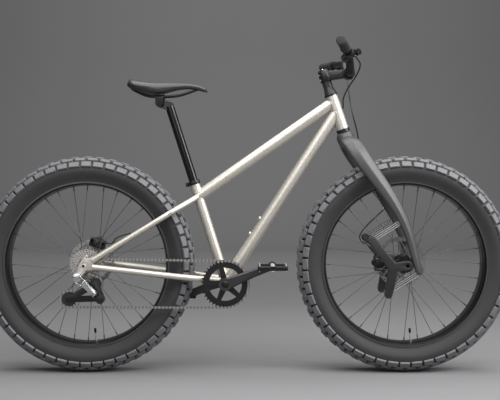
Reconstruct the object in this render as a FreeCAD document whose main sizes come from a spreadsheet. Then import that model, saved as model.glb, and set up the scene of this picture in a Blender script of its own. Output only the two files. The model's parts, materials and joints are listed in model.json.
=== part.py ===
import FreeCAD, Part
import math
import os
import re
import Sketcher

doc = FreeCAD.newDocument("fat_tire_bike")
V = FreeCAD.Vector

# Every length is in millimetres, every angle in degrees.
# X points forward, Y to the rider's left, Z up; the ground is at zero.
SIZES = {
    # wheels on the ground
    "wheelbase": 1114, "tyre_radius": 380, "tyre_width": 120, "tyre_wall": 3, "tyre_crown_wall": 6,
    "tyre_shoulder_width": 108, "tyre_shoulder_drop": 26, "tyre_belly_drop": 58,
    "bead_radius": 286, "rim_edge_radius": 290.5, "rim_floor_radius": 275, "rim_floor_width": 38,
    "rim_slope_radius": 279.5, "rim_slope_width": 80, "rim_side_radius": 284, "rim_width": 92,
    "rim_wall": 2.6,
    "spoke_radius": 1.05, "nipple_radius": 2.2, "nipple_length": 15, "spoke_standoff": 1.3,
    "rim_hole_offset": 12, "spoke_hole_radius": 27, "valve_radius": 3, "valve_cap_radius": 4,
    "valve_length": 44, "valve_cap_length": 15,
    # clearances shared by many pieces
    "running_clearance": 0.05, "body_gap": 0.4, "seat_gap": 0.1, "cut_overrun": 6,
    # frame
    "crank_x": -71, "crank_z": 315, "seat_angle": 72.3, "seat_tube_length": 375, "seat_tube_diameter": 36,
    "head_angle": 71, "head_x": 341, "head_z": 854.5, "head_tube_length": 123, "head_tube_diameter": 44,
    "head_tube_bore": 37, "tube_wall": 1.6, "top_tube_diameter": 40, "top_tube_on_seat": 318,
    "top_tube_on_head": 100, "down_tube_diameter": 43, "down_tube_on_head": 64,
    "shell_width": 100, "shell_diameter": 46, "shell_bore": 38,
    "chainstay_diameter": 21, "seatstay_diameter": 19, "stay_wall": 1.5, "stay_spread": 105,
    "chainstay_rear_x": 30, "chainstay_rear_z": -3, "chainstay_front_x": 4, "chainstay_front_z": 6,
    "chainstay_wide": 82, "chainstay_narrow": 58, "chainstay_end": 40,
    "seatstay_rear_x": 30, "seatstay_rear_z": 20, "seatstay_on_seat": 318, "seatstay_wide": 82,
    "seatstay_end": 10, "boss_radius": 7, "boss_height": 5, "boss_bore": 2.5, "boss_depth": 11,
    "boss_first": 190, "boss_spacing": 64, "collar_height": 14, "collar_wall": 3.4, "collar_ear": 6,
    "collar_slot": 2, "collar_bolt_radius": 3, "collar_gap": 0.2,
    # rear end
    "rear_hub_width": 197, "dropout_thickness": 9, "dropout_radius": 16, "chainstay_pad": 11,
    "seatstay_pad": 11, "rear_axle_radius": 6, "rear_axle_bore": 4.5, "axle_head_radius": 10,
    "axle_head_length": 4, "eyelet_radius": 6.5, "eyelet_bore": 2.5, "eyelet_x": 10, "eyelet_z": 31,
    "hanger_x": -19, "hanger_z": -38, "hanger_radius": 10, "brake_lobe_radius": 15,
    # hubs
    "rear_flange_right": -33, "rear_flange_left": 50, "rear_flange_radius": 31, "flange_thickness": 5,
    "rear_barrel_radius": 17, "freehub_radius": 9, "hub_cap_radius": 11, "rear_rotor_offset": 72,
    "rotor_seat_radius": 15, "rotor_shoulder_radius": 20, "rear_rotor_radius": 80,
    "front_hub_width": 150, "front_flange_offset": 33, "front_flange_radius": 31, "front_barrel_radius": 15,
    "front_axle_radius": 7.5, "front_axle_bore": 5, "front_rotor_offset": 63, "front_rotor_radius": 90,
    "rotor_thickness": 1.8, "rotor_band": 14, "rotor_ring": 8, "rotor_arm_radius": 4.5,
    "rotor_hole_radius": 2.6,
    # calipers
    "caliper_length": 56, "caliper_depth": 32, "caliper_half": 19, "caliper_slot": 4, "caliper_edge": 5,
    "piston_radius": 12, "piston_bulge": 3.2, "rear_caliper_angle": 72, "front_caliper_angle": 183,
    "caliper_inset": 6, "mount_bolt_radius": 4.5, "mount_bolt_head": 4,
    # headset and steering
    "cup_radius": 23.5, "lower_cup_height": 12, "upper_cup_height": 6, "steerer_radius": 14.3,
    "steerer_bore": 11.5, "steerer_top": 214, "cone_base_radius": 22, "cone_top_radius": 16.5,
    "cone_height": 26, "spacer_radius": 17, "stem_height": 38, "stem_axis": 195, "stem_clamp_radius": 20,
    "stem_reach_x": 84, "stem_reach_z": 12, "stem_neck": 15, "bar_clamp_width": 48, "bar_clamp_wall": 5.6,
    "bar_radius": 15.9, "bar_end_radius": 11.1, "faceplate_gap": 1.5, "stem_bolt_radius": 3,
    "stem_bolt_spread": 16, "top_cap_height": 5,
    "bar_half_width": 375, "bar_rise": 48, "bar_tip_rise": 64, "bar_setback": 8, "bar_tip_setback": 62,
    "bar_bend_start": 42, "bar_bend_end": 118, "grip_length": 132, "grip_radius": 15.8,
    "grip_collar_radius": 18,
    "grip_collar_length": 9, "grip_cap": 3,
    # brake levers and shift pod
    "lever_place": 228, "lever_droop": 24, "lever_clamp_radius": 15.5, "lever_clamp_width": 11,
    "lever_body_radius": 9.5, "lever_body_length": 58, "lever_body_reach": 25, "pivot_reach": 40,
    "pivot_out": 14, "pivot_radius": 7.5, "pivot_pin_radius": 2.5, "blade_thickness": 9,
    "yoke_thickness": 3.5,
    "blade_out": 100, "blade_reach": 54, "blade_root_radius": 7, "blade_tip_radius": 5, "blade_knee_out": 42,
    "pod_place": 196, "pod_drop": 24, "pod_radius": 11, "pod_length": 34, "paddle_length": 26,
    "paddle_thickness": 4, "paddle_reach": 26, "paddle_pin_radius": 3,
    # leaf spring fork
    "crown_gap": 0.5, "crown_drop": 30, "leg_foot_x": 45, "leg_foot_z": -36.4, "leg_spread": 88,
    "leg_depth": 62,
    "leg_thickness": 30, "crown_height": 36, "crown_forward": 4, "race_radius": 23,
    "carrier_inner": 75, "carrier_outer": 99, "spring_width": 18, "spring_thickness": 3.2,
    "spring_pitch": 6.4, "spring_slot_gap": 0.5, "spring_slot": 12, "upper_leg_x": -12, "upper_leg_z": 158,
    "lower_leg_x": 42, "lower_leg_z": -22.5, "spring_length": 138, "spring_angle": 32,
    "carrier_top_radius": 14, "carrier_elbow_radius": 15, "carrier_boss_radius": 17,
    "carrier_foot_radius": 13, "carrier_foot_drop": 9, "carrier_elbow_x": -48,
    "carrier_elbow_z": -6, "front_axle_head": 4,
    # cranks and pedals
    "crank_length": 175, "crank_angle": 22, "spindle_radius": 14.9, "spindle_bore": 12, "cup_width": 10,
    "arm_inner": 82, "arm_outer": 97, "arm_root_radius": 22, "arm_waist": 3.5, "arm_tip_radius": 14.5,
    "arm_tip_inner": 90, "arm_tip_outer": 104, "chainline": 80, "ring_spider_radius": 24,
    "ring_arm_radius": 7, "ring_web": 7,
    "ring_thickness": 4, "pedal_axle_radius": 6, "pedal_axle_length": 96, "pedal_gap": 5,
    "pedal_length": 100,
    "pedal_width": 98, "pedal_thickness": 15, "pedal_rail": 11, "pedal_tube_radius": 10, "pin_radius": 2,
    "pin_height": 4, "pedal_shoulder": 8,
    # chain and sprockets
    "chain_pitch": 12.7, "roller_radius": 3.87, "seating_clearance": 0.13, "tooth_tip": 3.4,
    "tooth_land": 1, "tooth_thickness": 1.6, "chain_inner_width": 2.2, "inner_plate": 0.8,
    "outer_plate": 0.75,
    "plate_end_radius": 4.2, "plate_waist_radius": 3.1, "cog_pitch": 3.8, "cassette_core": 3,
    "cog_bore_wall": 2.4,
    # derailleur
    "cage_pivot_x": 60, "cage_pivot_z": -113, "upper_pulley_x": -21, "upper_pulley_z": 50,
    "lower_pulley_x": -115, "lower_pulley_z": -2, "pulley_bore": 4, "cage_plate": 2, "cage_inside": 8.4,
    "cage_end_radius": 11, "cage_bolt_radius": 3.95, "knuckle_radius": 15, "knuckle_inner": 108.2,
    "knuckle_outer": 132, "link_radius": 5.2, "link_thickness": 5, "link_spacing": 13,
    "link_length": 56, "link_pin_radius": 2.5, "link_height": 18, "moving_inner": 98, "moving_outer": 132,
    "moving_radius": 14, "cage_pivot_radius": 5, "ear_thickness": 4,
    # seatpost and saddle
    "post_radius": 15.8, "post_wall": 2.2, "post_insert": 130, "post_top": 650, "head_cylinder_x": -303,
    "head_cylinder_z": 945, "head_cylinder_radius": 14, "head_width": 44, "cradle_width": 62,
    "cradle_length": 36, "cradle_height": 7, "cradle_bolt_radius": 3, "rail_height": 969, "rail_radius": 3.5,
    "rail_spread": 22, "rail_rear_spread": 30, "rail_nose_spread": 9, "rail_back": 46, "rail_ahead": 60,
    "saddle_tail_x": -414, "saddle_length": 278, "saddle_half_width": 71, "saddle_top": 1018,
    "saddle_height": 40, "shell_thickness": 4,
    # hoses
    "hose_radius": 2.5, "hose_stub": 12, "hose_run": 36, "hose_bow": 30, "hose_bow_high": 36,
    "hose_ahead": 38, "hose_aside": 110, "hose_lift": 11,
    "hose_bow_side": 31, "hose_port": 86, "hose_port_side": 34.4, "hose_fork_bow": 57, "hose_fork_side": 35,
    "hose_knee": 37, "hose_tail": 96, "hose_hollow": 97, "hose_hollow_drop": 82, "hose_sag": 44,
    "hose_end_run": 38,
}

sheet = doc.addObject("Spreadsheet::Sheet", "dims")
for row, (alias, number) in enumerate(SIZES.items(), start=1):
    sheet.set("A%d" % row, alias)
    sheet.set("B%d" % row, str(number))
    sheet.setAlias("B%d" % row, alias)
doc.recompute()


def bound(text):
    """The same sum with every size name pointed at the spreadsheet."""
    return re.sub(r"[a-z][a-z_]+", lambda m: "dims." + m.group(0), text)


def size(text):
    """The value of a size, or of a sum of sizes."""
    return float(sheet.evalExpression(bound(text)))


KEPT = []


def keep(item, label):
    """Mark a document object as one sub-part of the bike."""
    item.Label = label
    KEPT.append(item)
    return item


def piece(name, shape):
    """A document object that holds a computed shape."""
    item = doc.addObject("Part::Feature", name)
    item.Shape = shape
    return item


def group(name, shapes):
    """Several solids that make one sub-part."""
    return piece(name, Part.makeCompound(shapes))


def upright(origin, axis, toward=None):
    """A placement whose Z lies along axis and whose X leans toward the second direction."""
    side = toward or (V(0, 1, 0) if abs(axis.y) < abs(axis.Length) / 2 else V(1, 0, 0))
    return FreeCAD.Placement(origin, FreeCAD.Rotation(side, V(0, 0, 0), axis, "ZXY"))


def rod(name, start, end, radius, extra=0):
    """A cylinder bound to the sheet, from one point to another, run on past both ends by extra."""
    way = V(end - start).normalize()
    item = doc.addObject("Part::Cylinder", name)
    item.setExpression("Radius", bound(radius))
    item.Height = (end - start).Length + 2 * extra
    item.Placement = upright(start - way * extra, way)
    return item


def cut(name, base, tools):
    """The base with every tool taken away."""
    tool = tools[0]
    if len(tools) > 1:
        tool = doc.addObject("Part::MultiFuse", name + "_tools")
        tool.Shapes = tools
    item = doc.addObject("Part::Cut", name)
    item.Base = base
    item.Tool = tool
    return item


def revolved(name, outline, placement):
    """A body turned from a sketch; outline rows are radius, place along the axis and an optional
    point on the arc that leads to the next row."""
    body = doc.addObject("PartDesign::Body", name)
    plane = [f for f in body.Origin.OriginFeatures if f.Role == "XZ_Plane"][0]
    sketch = body.newObject("Sketcher::SketchObject", name + "_outline")
    sketch.AttachmentSupport = [(plane, "")]
    sketch.MapMode = "FlatFace"
    spots = [V(size(row[0]), size(row[1]), 0) for row in outline]
    count = len(spots)
    for i, row in enumerate(outline):
        following = spots[(i + 1) % count]
        if len(row) > 2:
            middle = V(size(row[2][0]), size(row[2][1]), 0)
            arc = Part.Arc(spots[i], middle, following)
            sketch.addGeometry(arc)
        else:
            sketch.addGeometry(Part.LineSegment(spots[i], following))

    def first_end(index):
        """The sketcher counts an arc's ends anticlockwise, so a clockwise arc starts at its second end."""
        row = outline[index]
        if len(row) < 3:
            return 1
        middle = V(size(row[2][0]), size(row[2][1]), 0)
        turn = (middle - spots[index]).cross(spots[(index + 1) % count] - spots[index])
        return 1 if turn.z > 0 else 2

    for i, row in enumerate(outline):
        for kind, text, value in (("DistanceX", row[0], spots[i].x), ("DistanceY", row[1], spots[i].y)):
            index = sketch.addConstraint(Sketcher.Constraint(kind, -1, 1, i, first_end(i), value))
            if abs(value) > 0:
                sketch.setExpression("Constraints[%d]" % index, bound(text))
        after = (i + 1) % count
        sketch.addConstraint(Sketcher.Constraint("Coincident", i, 3 - first_end(i), after, first_end(after)))
    turn = body.newObject("PartDesign::Revolution", name + "_turn")
    turn.Profile = sketch
    turn.ReferenceAxis = (sketch, ["V_Axis"])
    turn.Angle = 360
    body.Tip = turn
    body.Placement = placement
    return body


def across(origin):
    """A placement for turned pieces whose axis runs to the rider's left."""
    return FreeCAD.Placement(origin, FreeCAD.Rotation(V(1, 0, 0), -90))


def slab(p, p_radius, q, q_radius, low, high):
    """A plate between two sides of the bike, its outline two circles and their outer tangents."""
    span = math.hypot(q[0] - p[0], q[1] - p[1])
    lean = math.atan2(q[1] - p[1], q[0] - p[0])
    spread = math.acos((p_radius - q_radius) / span)

    def on(centre, radius, angle):
        return V(centre[0] + radius * math.cos(angle), low, centre[1] + radius * math.sin(angle))

    edges = [
        Part.Arc(on(q, q_radius, lean - spread), on(q, q_radius, lean),
                 on(q, q_radius, lean + spread)).toShape(),
        Part.LineSegment(on(q, q_radius, lean + spread), on(p, p_radius, lean + spread)).toShape(),
        Part.Arc(on(p, p_radius, lean + spread), on(p, p_radius, lean + math.pi),
                 on(p, p_radius, lean - spread)).toShape(),
        Part.LineSegment(on(p, p_radius, lean - spread), on(q, q_radius, lean - spread)).toShape(),
    ]
    return Part.Face(Part.Wire(edges)).extrude(V(0, high - low, 0))


def disc(centre, radius, low, high):
    """A round plate or peg across the bike."""
    return Part.makeCylinder(radius, high - low, V(centre[0], low, centre[1]), V(0, 1, 0))


def bar(start, end, radius):
    """A plain round bar between two points."""
    return Part.makeCylinder(radius, (end - start).Length, start, end - start)


def block(placement, low, high):
    """A box between two corners of a placement."""
    solid = Part.makeBox(high.x - low.x, high.y - low.y, high.z - low.z, low)
    solid.Placement = placement.multiply(solid.Placement)
    return solid


def joined(shapes):
    """One clean solid from overlapping solids."""
    return shapes[0].multiFuse(shapes[1:]).removeSplitter()


def mirrored(shape):
    """The same shape on the other side of the bike."""
    return shape.mirror(V(0, 0, 0), V(0, 1, 0))


BEND_SHARE = 0.45


def bent_path(points):
    """Straight runs joined by tangent arcs."""
    edges = []
    start = points[0]
    for before, corner, after in zip(points, points[1:], points[2:]):
        way_in = V(corner - before).normalize()
        way_out = V(after - corner).normalize()
        turn = way_in.getAngle(way_out)
        trim = BEND_SHARE * min((corner - before).Length, (after - corner).Length)
        radius = trim / math.tan(turn / 2)
        inward = V(way_out - way_in).normalize()
        middle = corner + inward * (radius / math.cos(turn / 2) - radius)
        edges.append(Part.LineSegment(start, corner - way_in * trim).toShape())
        edges.append(Part.Arc(corner - way_in * trim, middle, corner + way_out * trim).toShape())
        start = corner + way_out * trim
    edges.append(Part.LineSegment(start, points[-1]).toShape())
    return Part.Wire(edges)


def swept(points, radius):
    """A round bar along a bent path."""
    path = bent_path(points)
    ring = Part.Wire(Part.Circle(points[0], points[1] - points[0], radius).toShape())
    solid = path.makePipeShell([ring], True, True)
    filled = solid.Volume / (math.pi * radius ** 2 * path.Length)
    bends = [round(edge.Curve.Radius) for edge in path.Edges if isinstance(edge.Curve, Part.Circle)]
    print("swept length", round(path.Length), "volume share", round(filled, 4), "bend radii", bends)
    return solid


GAP = size("body_gap")
OVER = size("cut_overrun")
REAR = V(-size("wheelbase / 2"), 0, size("tyre_radius"))
FRONT = V(size("wheelbase / 2"), 0, size("tyre_radius"))
CRANK = V(size("crank_x"), 0, size("crank_z"))
SEAT_ANGLE = math.radians(size("seat_angle"))
SEAT_WAY = V(-math.cos(SEAT_ANGLE), 0, math.sin(SEAT_ANGLE))
HEAD_ANGLE = math.radians(size("head_angle"))
HEAD_WAY = V(-math.cos(HEAD_ANGLE), 0, math.sin(HEAD_ANGLE))
HEAD_FRONT = V(math.sin(HEAD_ANGLE), 0, math.cos(HEAD_ANGLE))
HEAD = V(size("head_x"), 0, size("head_z"))


def on_head(distance):
    """A point on the steering axis, measured up from the bottom of the head tube."""
    return HEAD + HEAD_WAY * distance


def on_seat(distance):
    """A point on the seat tube axis, measured up from the crank axis."""
    return CRANK + SEAT_WAY * distance


def build_frame_tubes():
    """The welded tubes, each mitred against the tubes that it meets."""
    head = revolved("head_tube", [
        ("head_tube_bore / 2", "0"), ("head_tube_diameter / 2", "0"),
        ("head_tube_diameter / 2", "head_tube_length"), ("head_tube_bore / 2", "head_tube_length"),
    ], upright(HEAD, HEAD_WAY))
    keep(head, "head_tube")
    shell = revolved("bottom_bracket_shell", [
        ("shell_bore / 2", "-shell_width / 2"), ("shell_diameter / 2", "-shell_width / 2"),
        ("shell_diameter / 2", "shell_width / 2"), ("shell_bore / 2", "shell_width / 2"),
    ], across(CRANK))
    keep(shell, "bottom_bracket_shell")

    half_shell = V(0, size("shell_width / 2"), 0)
    shell_round = rod("shell_round", CRANK - half_shell, CRANK + half_shell, "shell_diameter / 2")
    head_round = rod("head_round", HEAD, on_head(size("head_tube_length")), "head_tube_diameter / 2", OVER)
    seat_top = on_seat(size("seat_tube_length"))
    seat_round = rod("seat_round", CRANK, seat_top, "seat_tube_diameter / 2")
    seat_bore = rod("seat_bore", CRANK, seat_top, "post_radius + running_clearance", OVER)
    keep(cut("seat_tube_cut", seat_round, [seat_bore, shell_round]), "seat_tube")

    top_start = on_seat(size("top_tube_on_seat"))
    top_end = on_head(size("top_tube_on_head"))
    top_round = rod("top_round", top_start, top_end, "top_tube_diameter / 2")
    top_bore = rod("top_bore", top_start, top_end, "top_tube_diameter / 2 - tube_wall", OVER)
    keep(cut("top_tube_cut", top_round, [top_bore, seat_round, head_round]), "top_tube")

    down_end = on_head(size("down_tube_on_head"))
    down_way = V(down_end - CRANK).normalize()
    down_up = V(-down_way.z, 0, down_way.x)
    down_round = rod("down_round", CRANK, down_end, "down_tube_diameter / 2")
    shapes = [down_round]
    holes = [rod("down_bore", CRANK, down_end, "down_tube_diameter / 2 - tube_wall", OVER)]
    reach = size("down_tube_diameter / 2 + boss_height")
    for index in range(2):
        foot = CRANK + down_way * (size("boss_first") + index * size("boss_spacing"))
        tip = foot + down_up * reach
        shapes.append(rod("boss_%d" % index, tip - down_up * size("boss_depth"), tip, "boss_radius"))
        holes.append(rod("boss_hole_%d" % index, tip - down_up * size("boss_depth"), tip, "boss_bore", OVER))
    whole = doc.addObject("Part::MultiFuse", "down_tube_whole")
    whole.Shapes = shapes
    bored = cut("down_tube_bored", whole, holes)
    keep(cut("down_tube_cut", bored, [shell_round, seat_round, head_round, top_round]), "down_tube")
    reach = half_shell + V(0, size("cup_width") + GAP, 0)
    shell_whole = rod("shell_whole", CRANK - reach, CRANK + reach, "shell_diameter / 2")
    return shell_whole, seat_round, top_round, down_round


def dropout_shape(left):
    """One rear dropout: axle boss, two stay pads and an eyelet, with the hanger or the brake mount."""
    low = size("rear_hub_width / 2")
    high = low + size("dropout_thickness")
    axle = (REAR.x, REAR.z)
    big = size("dropout_radius")

    def spot(dx, dz):
        return (REAR.x + size(dx), REAR.z + size(dz))

    arms = [
        slab(axle, big, spot("chainstay_rear_x", "chainstay_rear_z"), size("chainstay_pad"), low, high),
        slab(axle, big, spot("seatstay_rear_x", "seatstay_rear_z"), size("seatstay_pad"), low, high),
        slab(axle, big, spot("eyelet_x", "eyelet_z"), size("eyelet_radius"), low, high),
    ]
    if left:
        angle = math.radians(size("rear_caliper_angle"))
        reach = size("rear_rotor_radius")
        lobe = (REAR.x + reach * math.cos(angle), REAR.z + reach * math.sin(angle))
        arms.append(slab(axle, big, lobe, size("brake_lobe_radius"), low, high))
    else:
        arms.append(slab(axle, big, spot("hanger_x", "hanger_z"), size("hanger_radius"), low, high))
    shape = joined(arms)
    holes = [disc(axle, size("rear_axle_radius + seat_gap"), low - OVER, high + OVER),
             disc(spot("eyelet_x", "eyelet_z"), size("eyelet_bore"), low - OVER, high + OVER)]
    shape = shape.cut(holes)
    return shape if left else mirrored(shape)


CHAINSTAY_SHARES = (0, 0.66, 0.83, 1)
SEATSTAY_SHARES = (0, 0.76, 1)


def build_stays(shell_round, seat_round, top_round):
    """Chainstays, seatstays and dropouts; the stay ends are slotted over the dropout plates."""
    plates = [dropout_shape(False), dropout_shape(True)]
    keep(group("dropout_pair", plates), "rear_dropouts")
    doc.recompute()

    rear = V(REAR.x + size("chainstay_rear_x"), 0, REAR.z + size("chainstay_rear_z"))
    front = V(CRANK.x + size("chainstay_front_x"), 0, CRANK.z + size("chainstay_front_z"))
    sides = ("stay_spread", "chainstay_wide", "chainstay_narrow", "chainstay_end")
    route = [rear + (front - rear) * share + V(0, size(side), 0)
             for share, side in zip(CHAINSTAY_SHARES, sides)]
    stay = swept(route, size("chainstay_diameter / 2"))
    bore = swept(route, size("chainstay_diameter / 2 - stay_wall"))
    stay = stay.cut([bore, shell_round.Shape, plates[1], mirrored(plates[0])])
    stay = max(stay.Solids, key=lambda s: s.Volume)
    keep(group("chainstay_pair", [mirrored(stay), stay]), "chainstays")

    rear = V(REAR.x + size("seatstay_rear_x"), 0, REAR.z + size("seatstay_rear_z"))
    front = on_seat(size("seatstay_on_seat"))
    sides = ("stay_spread", "seatstay_wide", "seatstay_end")
    route = [rear + (front - rear) * share + V(0, size(side), 0)
             for share, side in zip(SEATSTAY_SHARES, sides)]
    upper = swept(route, size("seatstay_diameter / 2"))
    bore = swept(route, size("seatstay_diameter / 2 - stay_wall"))
    upper = upper.cut([bore, seat_round.Shape, top_round.Shape, plates[1], mirrored(plates[0])])
    upper = max(upper.Solids, key=lambda s: s.Volume)
    keep(group("seatstay_pair", [mirrored(upper), upper]), "seatstays")
    return upper


def build_collar():
    """The clamp ring at the top of the seat tube, with its split ear and bolt."""
    bottom = size("seat_tube_length - collar_height")
    base = upright(on_seat(bottom), SEAT_WAY, V(0, 1, 0))
    inner = size("seat_tube_diameter / 2 + collar_gap")
    outer = inner + size("collar_wall")
    tall = size("collar_height")
    ear = size("collar_ear")
    ring = Part.makeCylinder(outer, tall)
    tab = Part.makeBox(ear, 2 * ear, tall, V(-ear / 2, inner, 0))
    collar = ring.fuse(tab)
    slot = size("collar_slot")
    collar = collar.cut([Part.makeCylinder(inner, tall + 2 * OVER, V(0, 0, -OVER)),
                         Part.makeBox(slot, 3 * ear, tall + 2 * OVER, V(-slot / 2, inner - OVER, -OVER))])
    bolt = Part.makeCylinder(size("collar_bolt_radius"), 2 * ear, V(-ear, outer + ear / 2, tall / 2),
                             V(1, 0, 0))
    collar = collar.fuse(bolt).removeSplitter()
    collar.Placement = base
    keep(piece("seat_collar_ring", collar), "seat_collar")


def ring_between(origin, way, inner, outer, length):
    """A plain ring along an axis."""
    return Part.makeCylinder(outer, length, origin, way).cut(
        Part.makeCylinder(inner, length + 2 * OVER, origin - way * OVER, way))


def build_cups():
    """Headset cups on the head tube and bottom bracket cups on the shell."""
    inner = size("steerer_radius + running_clearance")
    outer = size("cup_radius")
    lower = ring_between(on_head(-size("lower_cup_height")), HEAD_WAY, inner, outer,
                         size("lower_cup_height"))
    upper = ring_between(on_head(size("head_tube_length")), HEAD_WAY, inner, outer, size("upper_cup_height"))
    side = V(0, size("shell_width / 2"), 0)
    left = ring_between(CRANK + side, V(0, 1, 0), size("spindle_radius + running_clearance"),
                        size("shell_diameter / 2"), size("cup_width"))
    keep(group("bearing_cup_set", [lower, upper, left, mirrored(left)]), "bearing_cups")


def build_rear_axle():
    """The hollow rear through axle with its head on the left."""
    half = "(rear_hub_width / 2 + dropout_thickness)"
    keep(revolved("rear_axle_body", [
        ("rear_axle_bore", "-" + half), ("rear_axle_radius", "-" + half),
        ("rear_axle_radius", half), ("axle_head_radius", half),
        ("axle_head_radius", half + " + axle_head_length"), ("rear_axle_bore", half + " + axle_head_length"),
    ], across(REAR)), "rear_axle")


def build_wheel(prefix, axle):
    """Tyre, rim and valve of one wheel, turned about the axle."""
    place = across(axle)
    shoulder = "tyre_shoulder_width / 2"
    seat = "(rim_width / 2 - rim_wall - seat_gap)"
    level = "tyre_radius - tyre_shoulder_drop"
    belly = "tyre_radius - tyre_belly_drop"
    outline = [
        ("bead_radius", seat),
        ("rim_edge_radius", seat, (belly, "tyre_width / 2")),
        (level, shoulder, ("tyre_radius", "0")),
        (level, "-" + shoulder, (belly, "-tyre_width / 2")),
        ("rim_edge_radius", "-" + seat),
        ("bead_radius", "-" + seat),
        ("bead_radius", "tyre_wall - " + seat),
        ("rim_edge_radius", "tyre_wall - " + seat, (belly, "tyre_wall - tyre_width / 2")),
        (level, "tyre_wall - " + shoulder, ("tyre_radius - tyre_crown_wall", "0")),
        (level, shoulder + " - tyre_wall", (belly, "tyre_width / 2 - tyre_wall")),
        ("rim_edge_radius", seat + " - tyre_wall"),
        ("bead_radius", seat + " - tyre_wall"),
    ]
    keep(revolved(prefix + "_tyre_body", outline, place), prefix + "_tyre")

    rows = [
        ("rim_floor_radius", "rim_floor_width / 2"),
        ("rim_slope_radius", "rim_slope_width / 2"),
        ("rim_side_radius", "rim_width / 2"),
        ("rim_edge_radius", "rim_width / 2"),
        ("rim_edge_radius", "rim_width / 2 - rim_wall"),
        ("bead_radius - seat_gap", "rim_width / 2 - rim_wall"),
        ("bead_radius - seat_gap", "rim_width / 2 - 3 * rim_wall"),
        ("rim_floor_radius + rim_wall", "rim_floor_width / 2 - rim_wall"),
    ]
    outline = rows + [(r, "-(%s)" % a) for r, a in reversed(rows)]
    keep(revolved(prefix + "_rim_body", outline, place), prefix + "_rim")

    angle = math.radians(VALVE_ANGLE)
    way = V(math.cos(angle), 0, math.sin(angle))
    root = axle + way * (size("rim_floor_radius") - size("seat_gap"))
    tip = root - way * size("valve_length")
    stem = bar(tip, root, size("valve_radius"))
    cap = bar(tip, tip + way * size("valve_cap_length"), size("valve_cap_radius"))
    keep(piece(prefix + "_valve_stem", stem.fuse(cap).removeSplitter()), prefix + "_valve")


VALVE_ANGLE = -84.375
SPOKES_PER_SIDE = 16
SPOKE_CROSSINGS = 3


def build_spokes(prefix, axle, right_flange, left_flange):
    """Crossed spokes with their nipples, from the flange sides to the rim floor."""
    solids = []
    step = 2 * math.pi / SPOKES_PER_SIDE
    hub_radius = size("spoke_hole_radius")
    rim_radius = size("rim_floor_radius - body_gap")
    flange = size("flange_thickness / 2 + spoke_radius")
    for flange_place, turn, sign in ((right_flange, 0, -1), (left_flange, step / 2, 1)):
        for index in range(SPOKES_PER_SIDE):
            hub_angle = turn + index * step
            lead = 1 if index % 2 == 0 else -1
            rim_angle = hub_angle + lead * SPOKE_CROSSINGS * step
            outside = size("spoke_standoff") + flange if lead > 0 else -flange - size("seat_gap")
            start = axle + V(hub_radius * math.cos(hub_angle), flange_place + sign * outside,
                             hub_radius * math.sin(hub_angle))
            end = axle + V(rim_radius * math.cos(rim_angle), sign * size("rim_hole_offset"),
                           rim_radius * math.sin(rim_angle))
            way = V(end - start).normalize()
            wire = bar(start, end, size("spoke_radius"))
            nipple = bar(end - way * size("nipple_length"), end, size("nipple_radius"))
            solids.append(wire.fuse(nipple).removeSplitter())
    keep(group(prefix + "_spoke_set", solids), prefix + "_spokes")


def build_hubs():
    """Both hub shells with their flanges, end caps and rotor seats."""
    bore = "rear_axle_radius + running_clearance"
    end = "(rear_hub_width / 2 - body_gap)"
    right_in = "(rear_flange_right + flange_thickness / 2)"
    right_out = "(rear_flange_right - flange_thickness / 2)"
    left_in = "(rear_flange_left - flange_thickness / 2)"
    left_out = "(rear_flange_left + flange_thickness / 2)"
    shoulder = "(rear_rotor_offset - rotor_thickness / 2)"
    core_end = "(-chainline - cassette_core)"
    keep(revolved("rear_hub_body", [
        (bore, "-" + end), ("hub_cap_radius", "-" + end), ("hub_cap_radius", core_end + " - body_gap"),
        ("freehub_radius", core_end + " - body_gap"), ("freehub_radius", right_out),
        ("rear_flange_radius", right_out),
        ("rear_flange_radius", right_in), ("rear_barrel_radius", right_in), ("rear_barrel_radius", left_in),
        ("rear_flange_radius", left_in), ("rear_flange_radius", left_out),
        ("rotor_shoulder_radius", left_out),
        ("rotor_shoulder_radius", shoulder), ("rotor_seat_radius", shoulder),
        ("rotor_seat_radius", shoulder + " + rotor_ring"), ("hub_cap_radius", shoulder + " + rotor_ring"),
        ("hub_cap_radius", end), (bore, end),
    ], across(REAR)), "rear_hub")
    bore = "front_axle_radius + running_clearance"
    end = "(front_hub_width / 2 - body_gap)"
    near = "(front_flange_offset - flange_thickness / 2)"
    far = "(front_flange_offset + flange_thickness / 2)"
    shoulder = "(front_rotor_offset - rotor_thickness / 2)"
    keep(revolved("front_hub_body", [
        (bore, "-" + end), ("hub_cap_radius", "-" + end), ("front_barrel_radius", "-" + far),
        ("front_flange_radius", "-" + far), ("front_flange_radius", "-" + near),
        ("front_barrel_radius", "-" + near),
        ("front_barrel_radius", near), ("front_flange_radius", near), ("front_flange_radius", far),
        ("rotor_shoulder_radius", far), ("rotor_shoulder_radius", shoulder), ("rotor_seat_radius", shoulder),
        ("rotor_seat_radius", shoulder + " + rotor_ring"), ("hub_cap_radius", shoulder + " + rotor_ring"),
        ("hub_cap_radius", end), (bore, end),
    ], across(FRONT)), "front_hub")


ROTOR_ARMS = 6
ROTOR_ARM_LEAN = 38
ROTOR_HOLES = 30
ROTOR_HOLE_SHARES = (0.3, 0.7)


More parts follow.
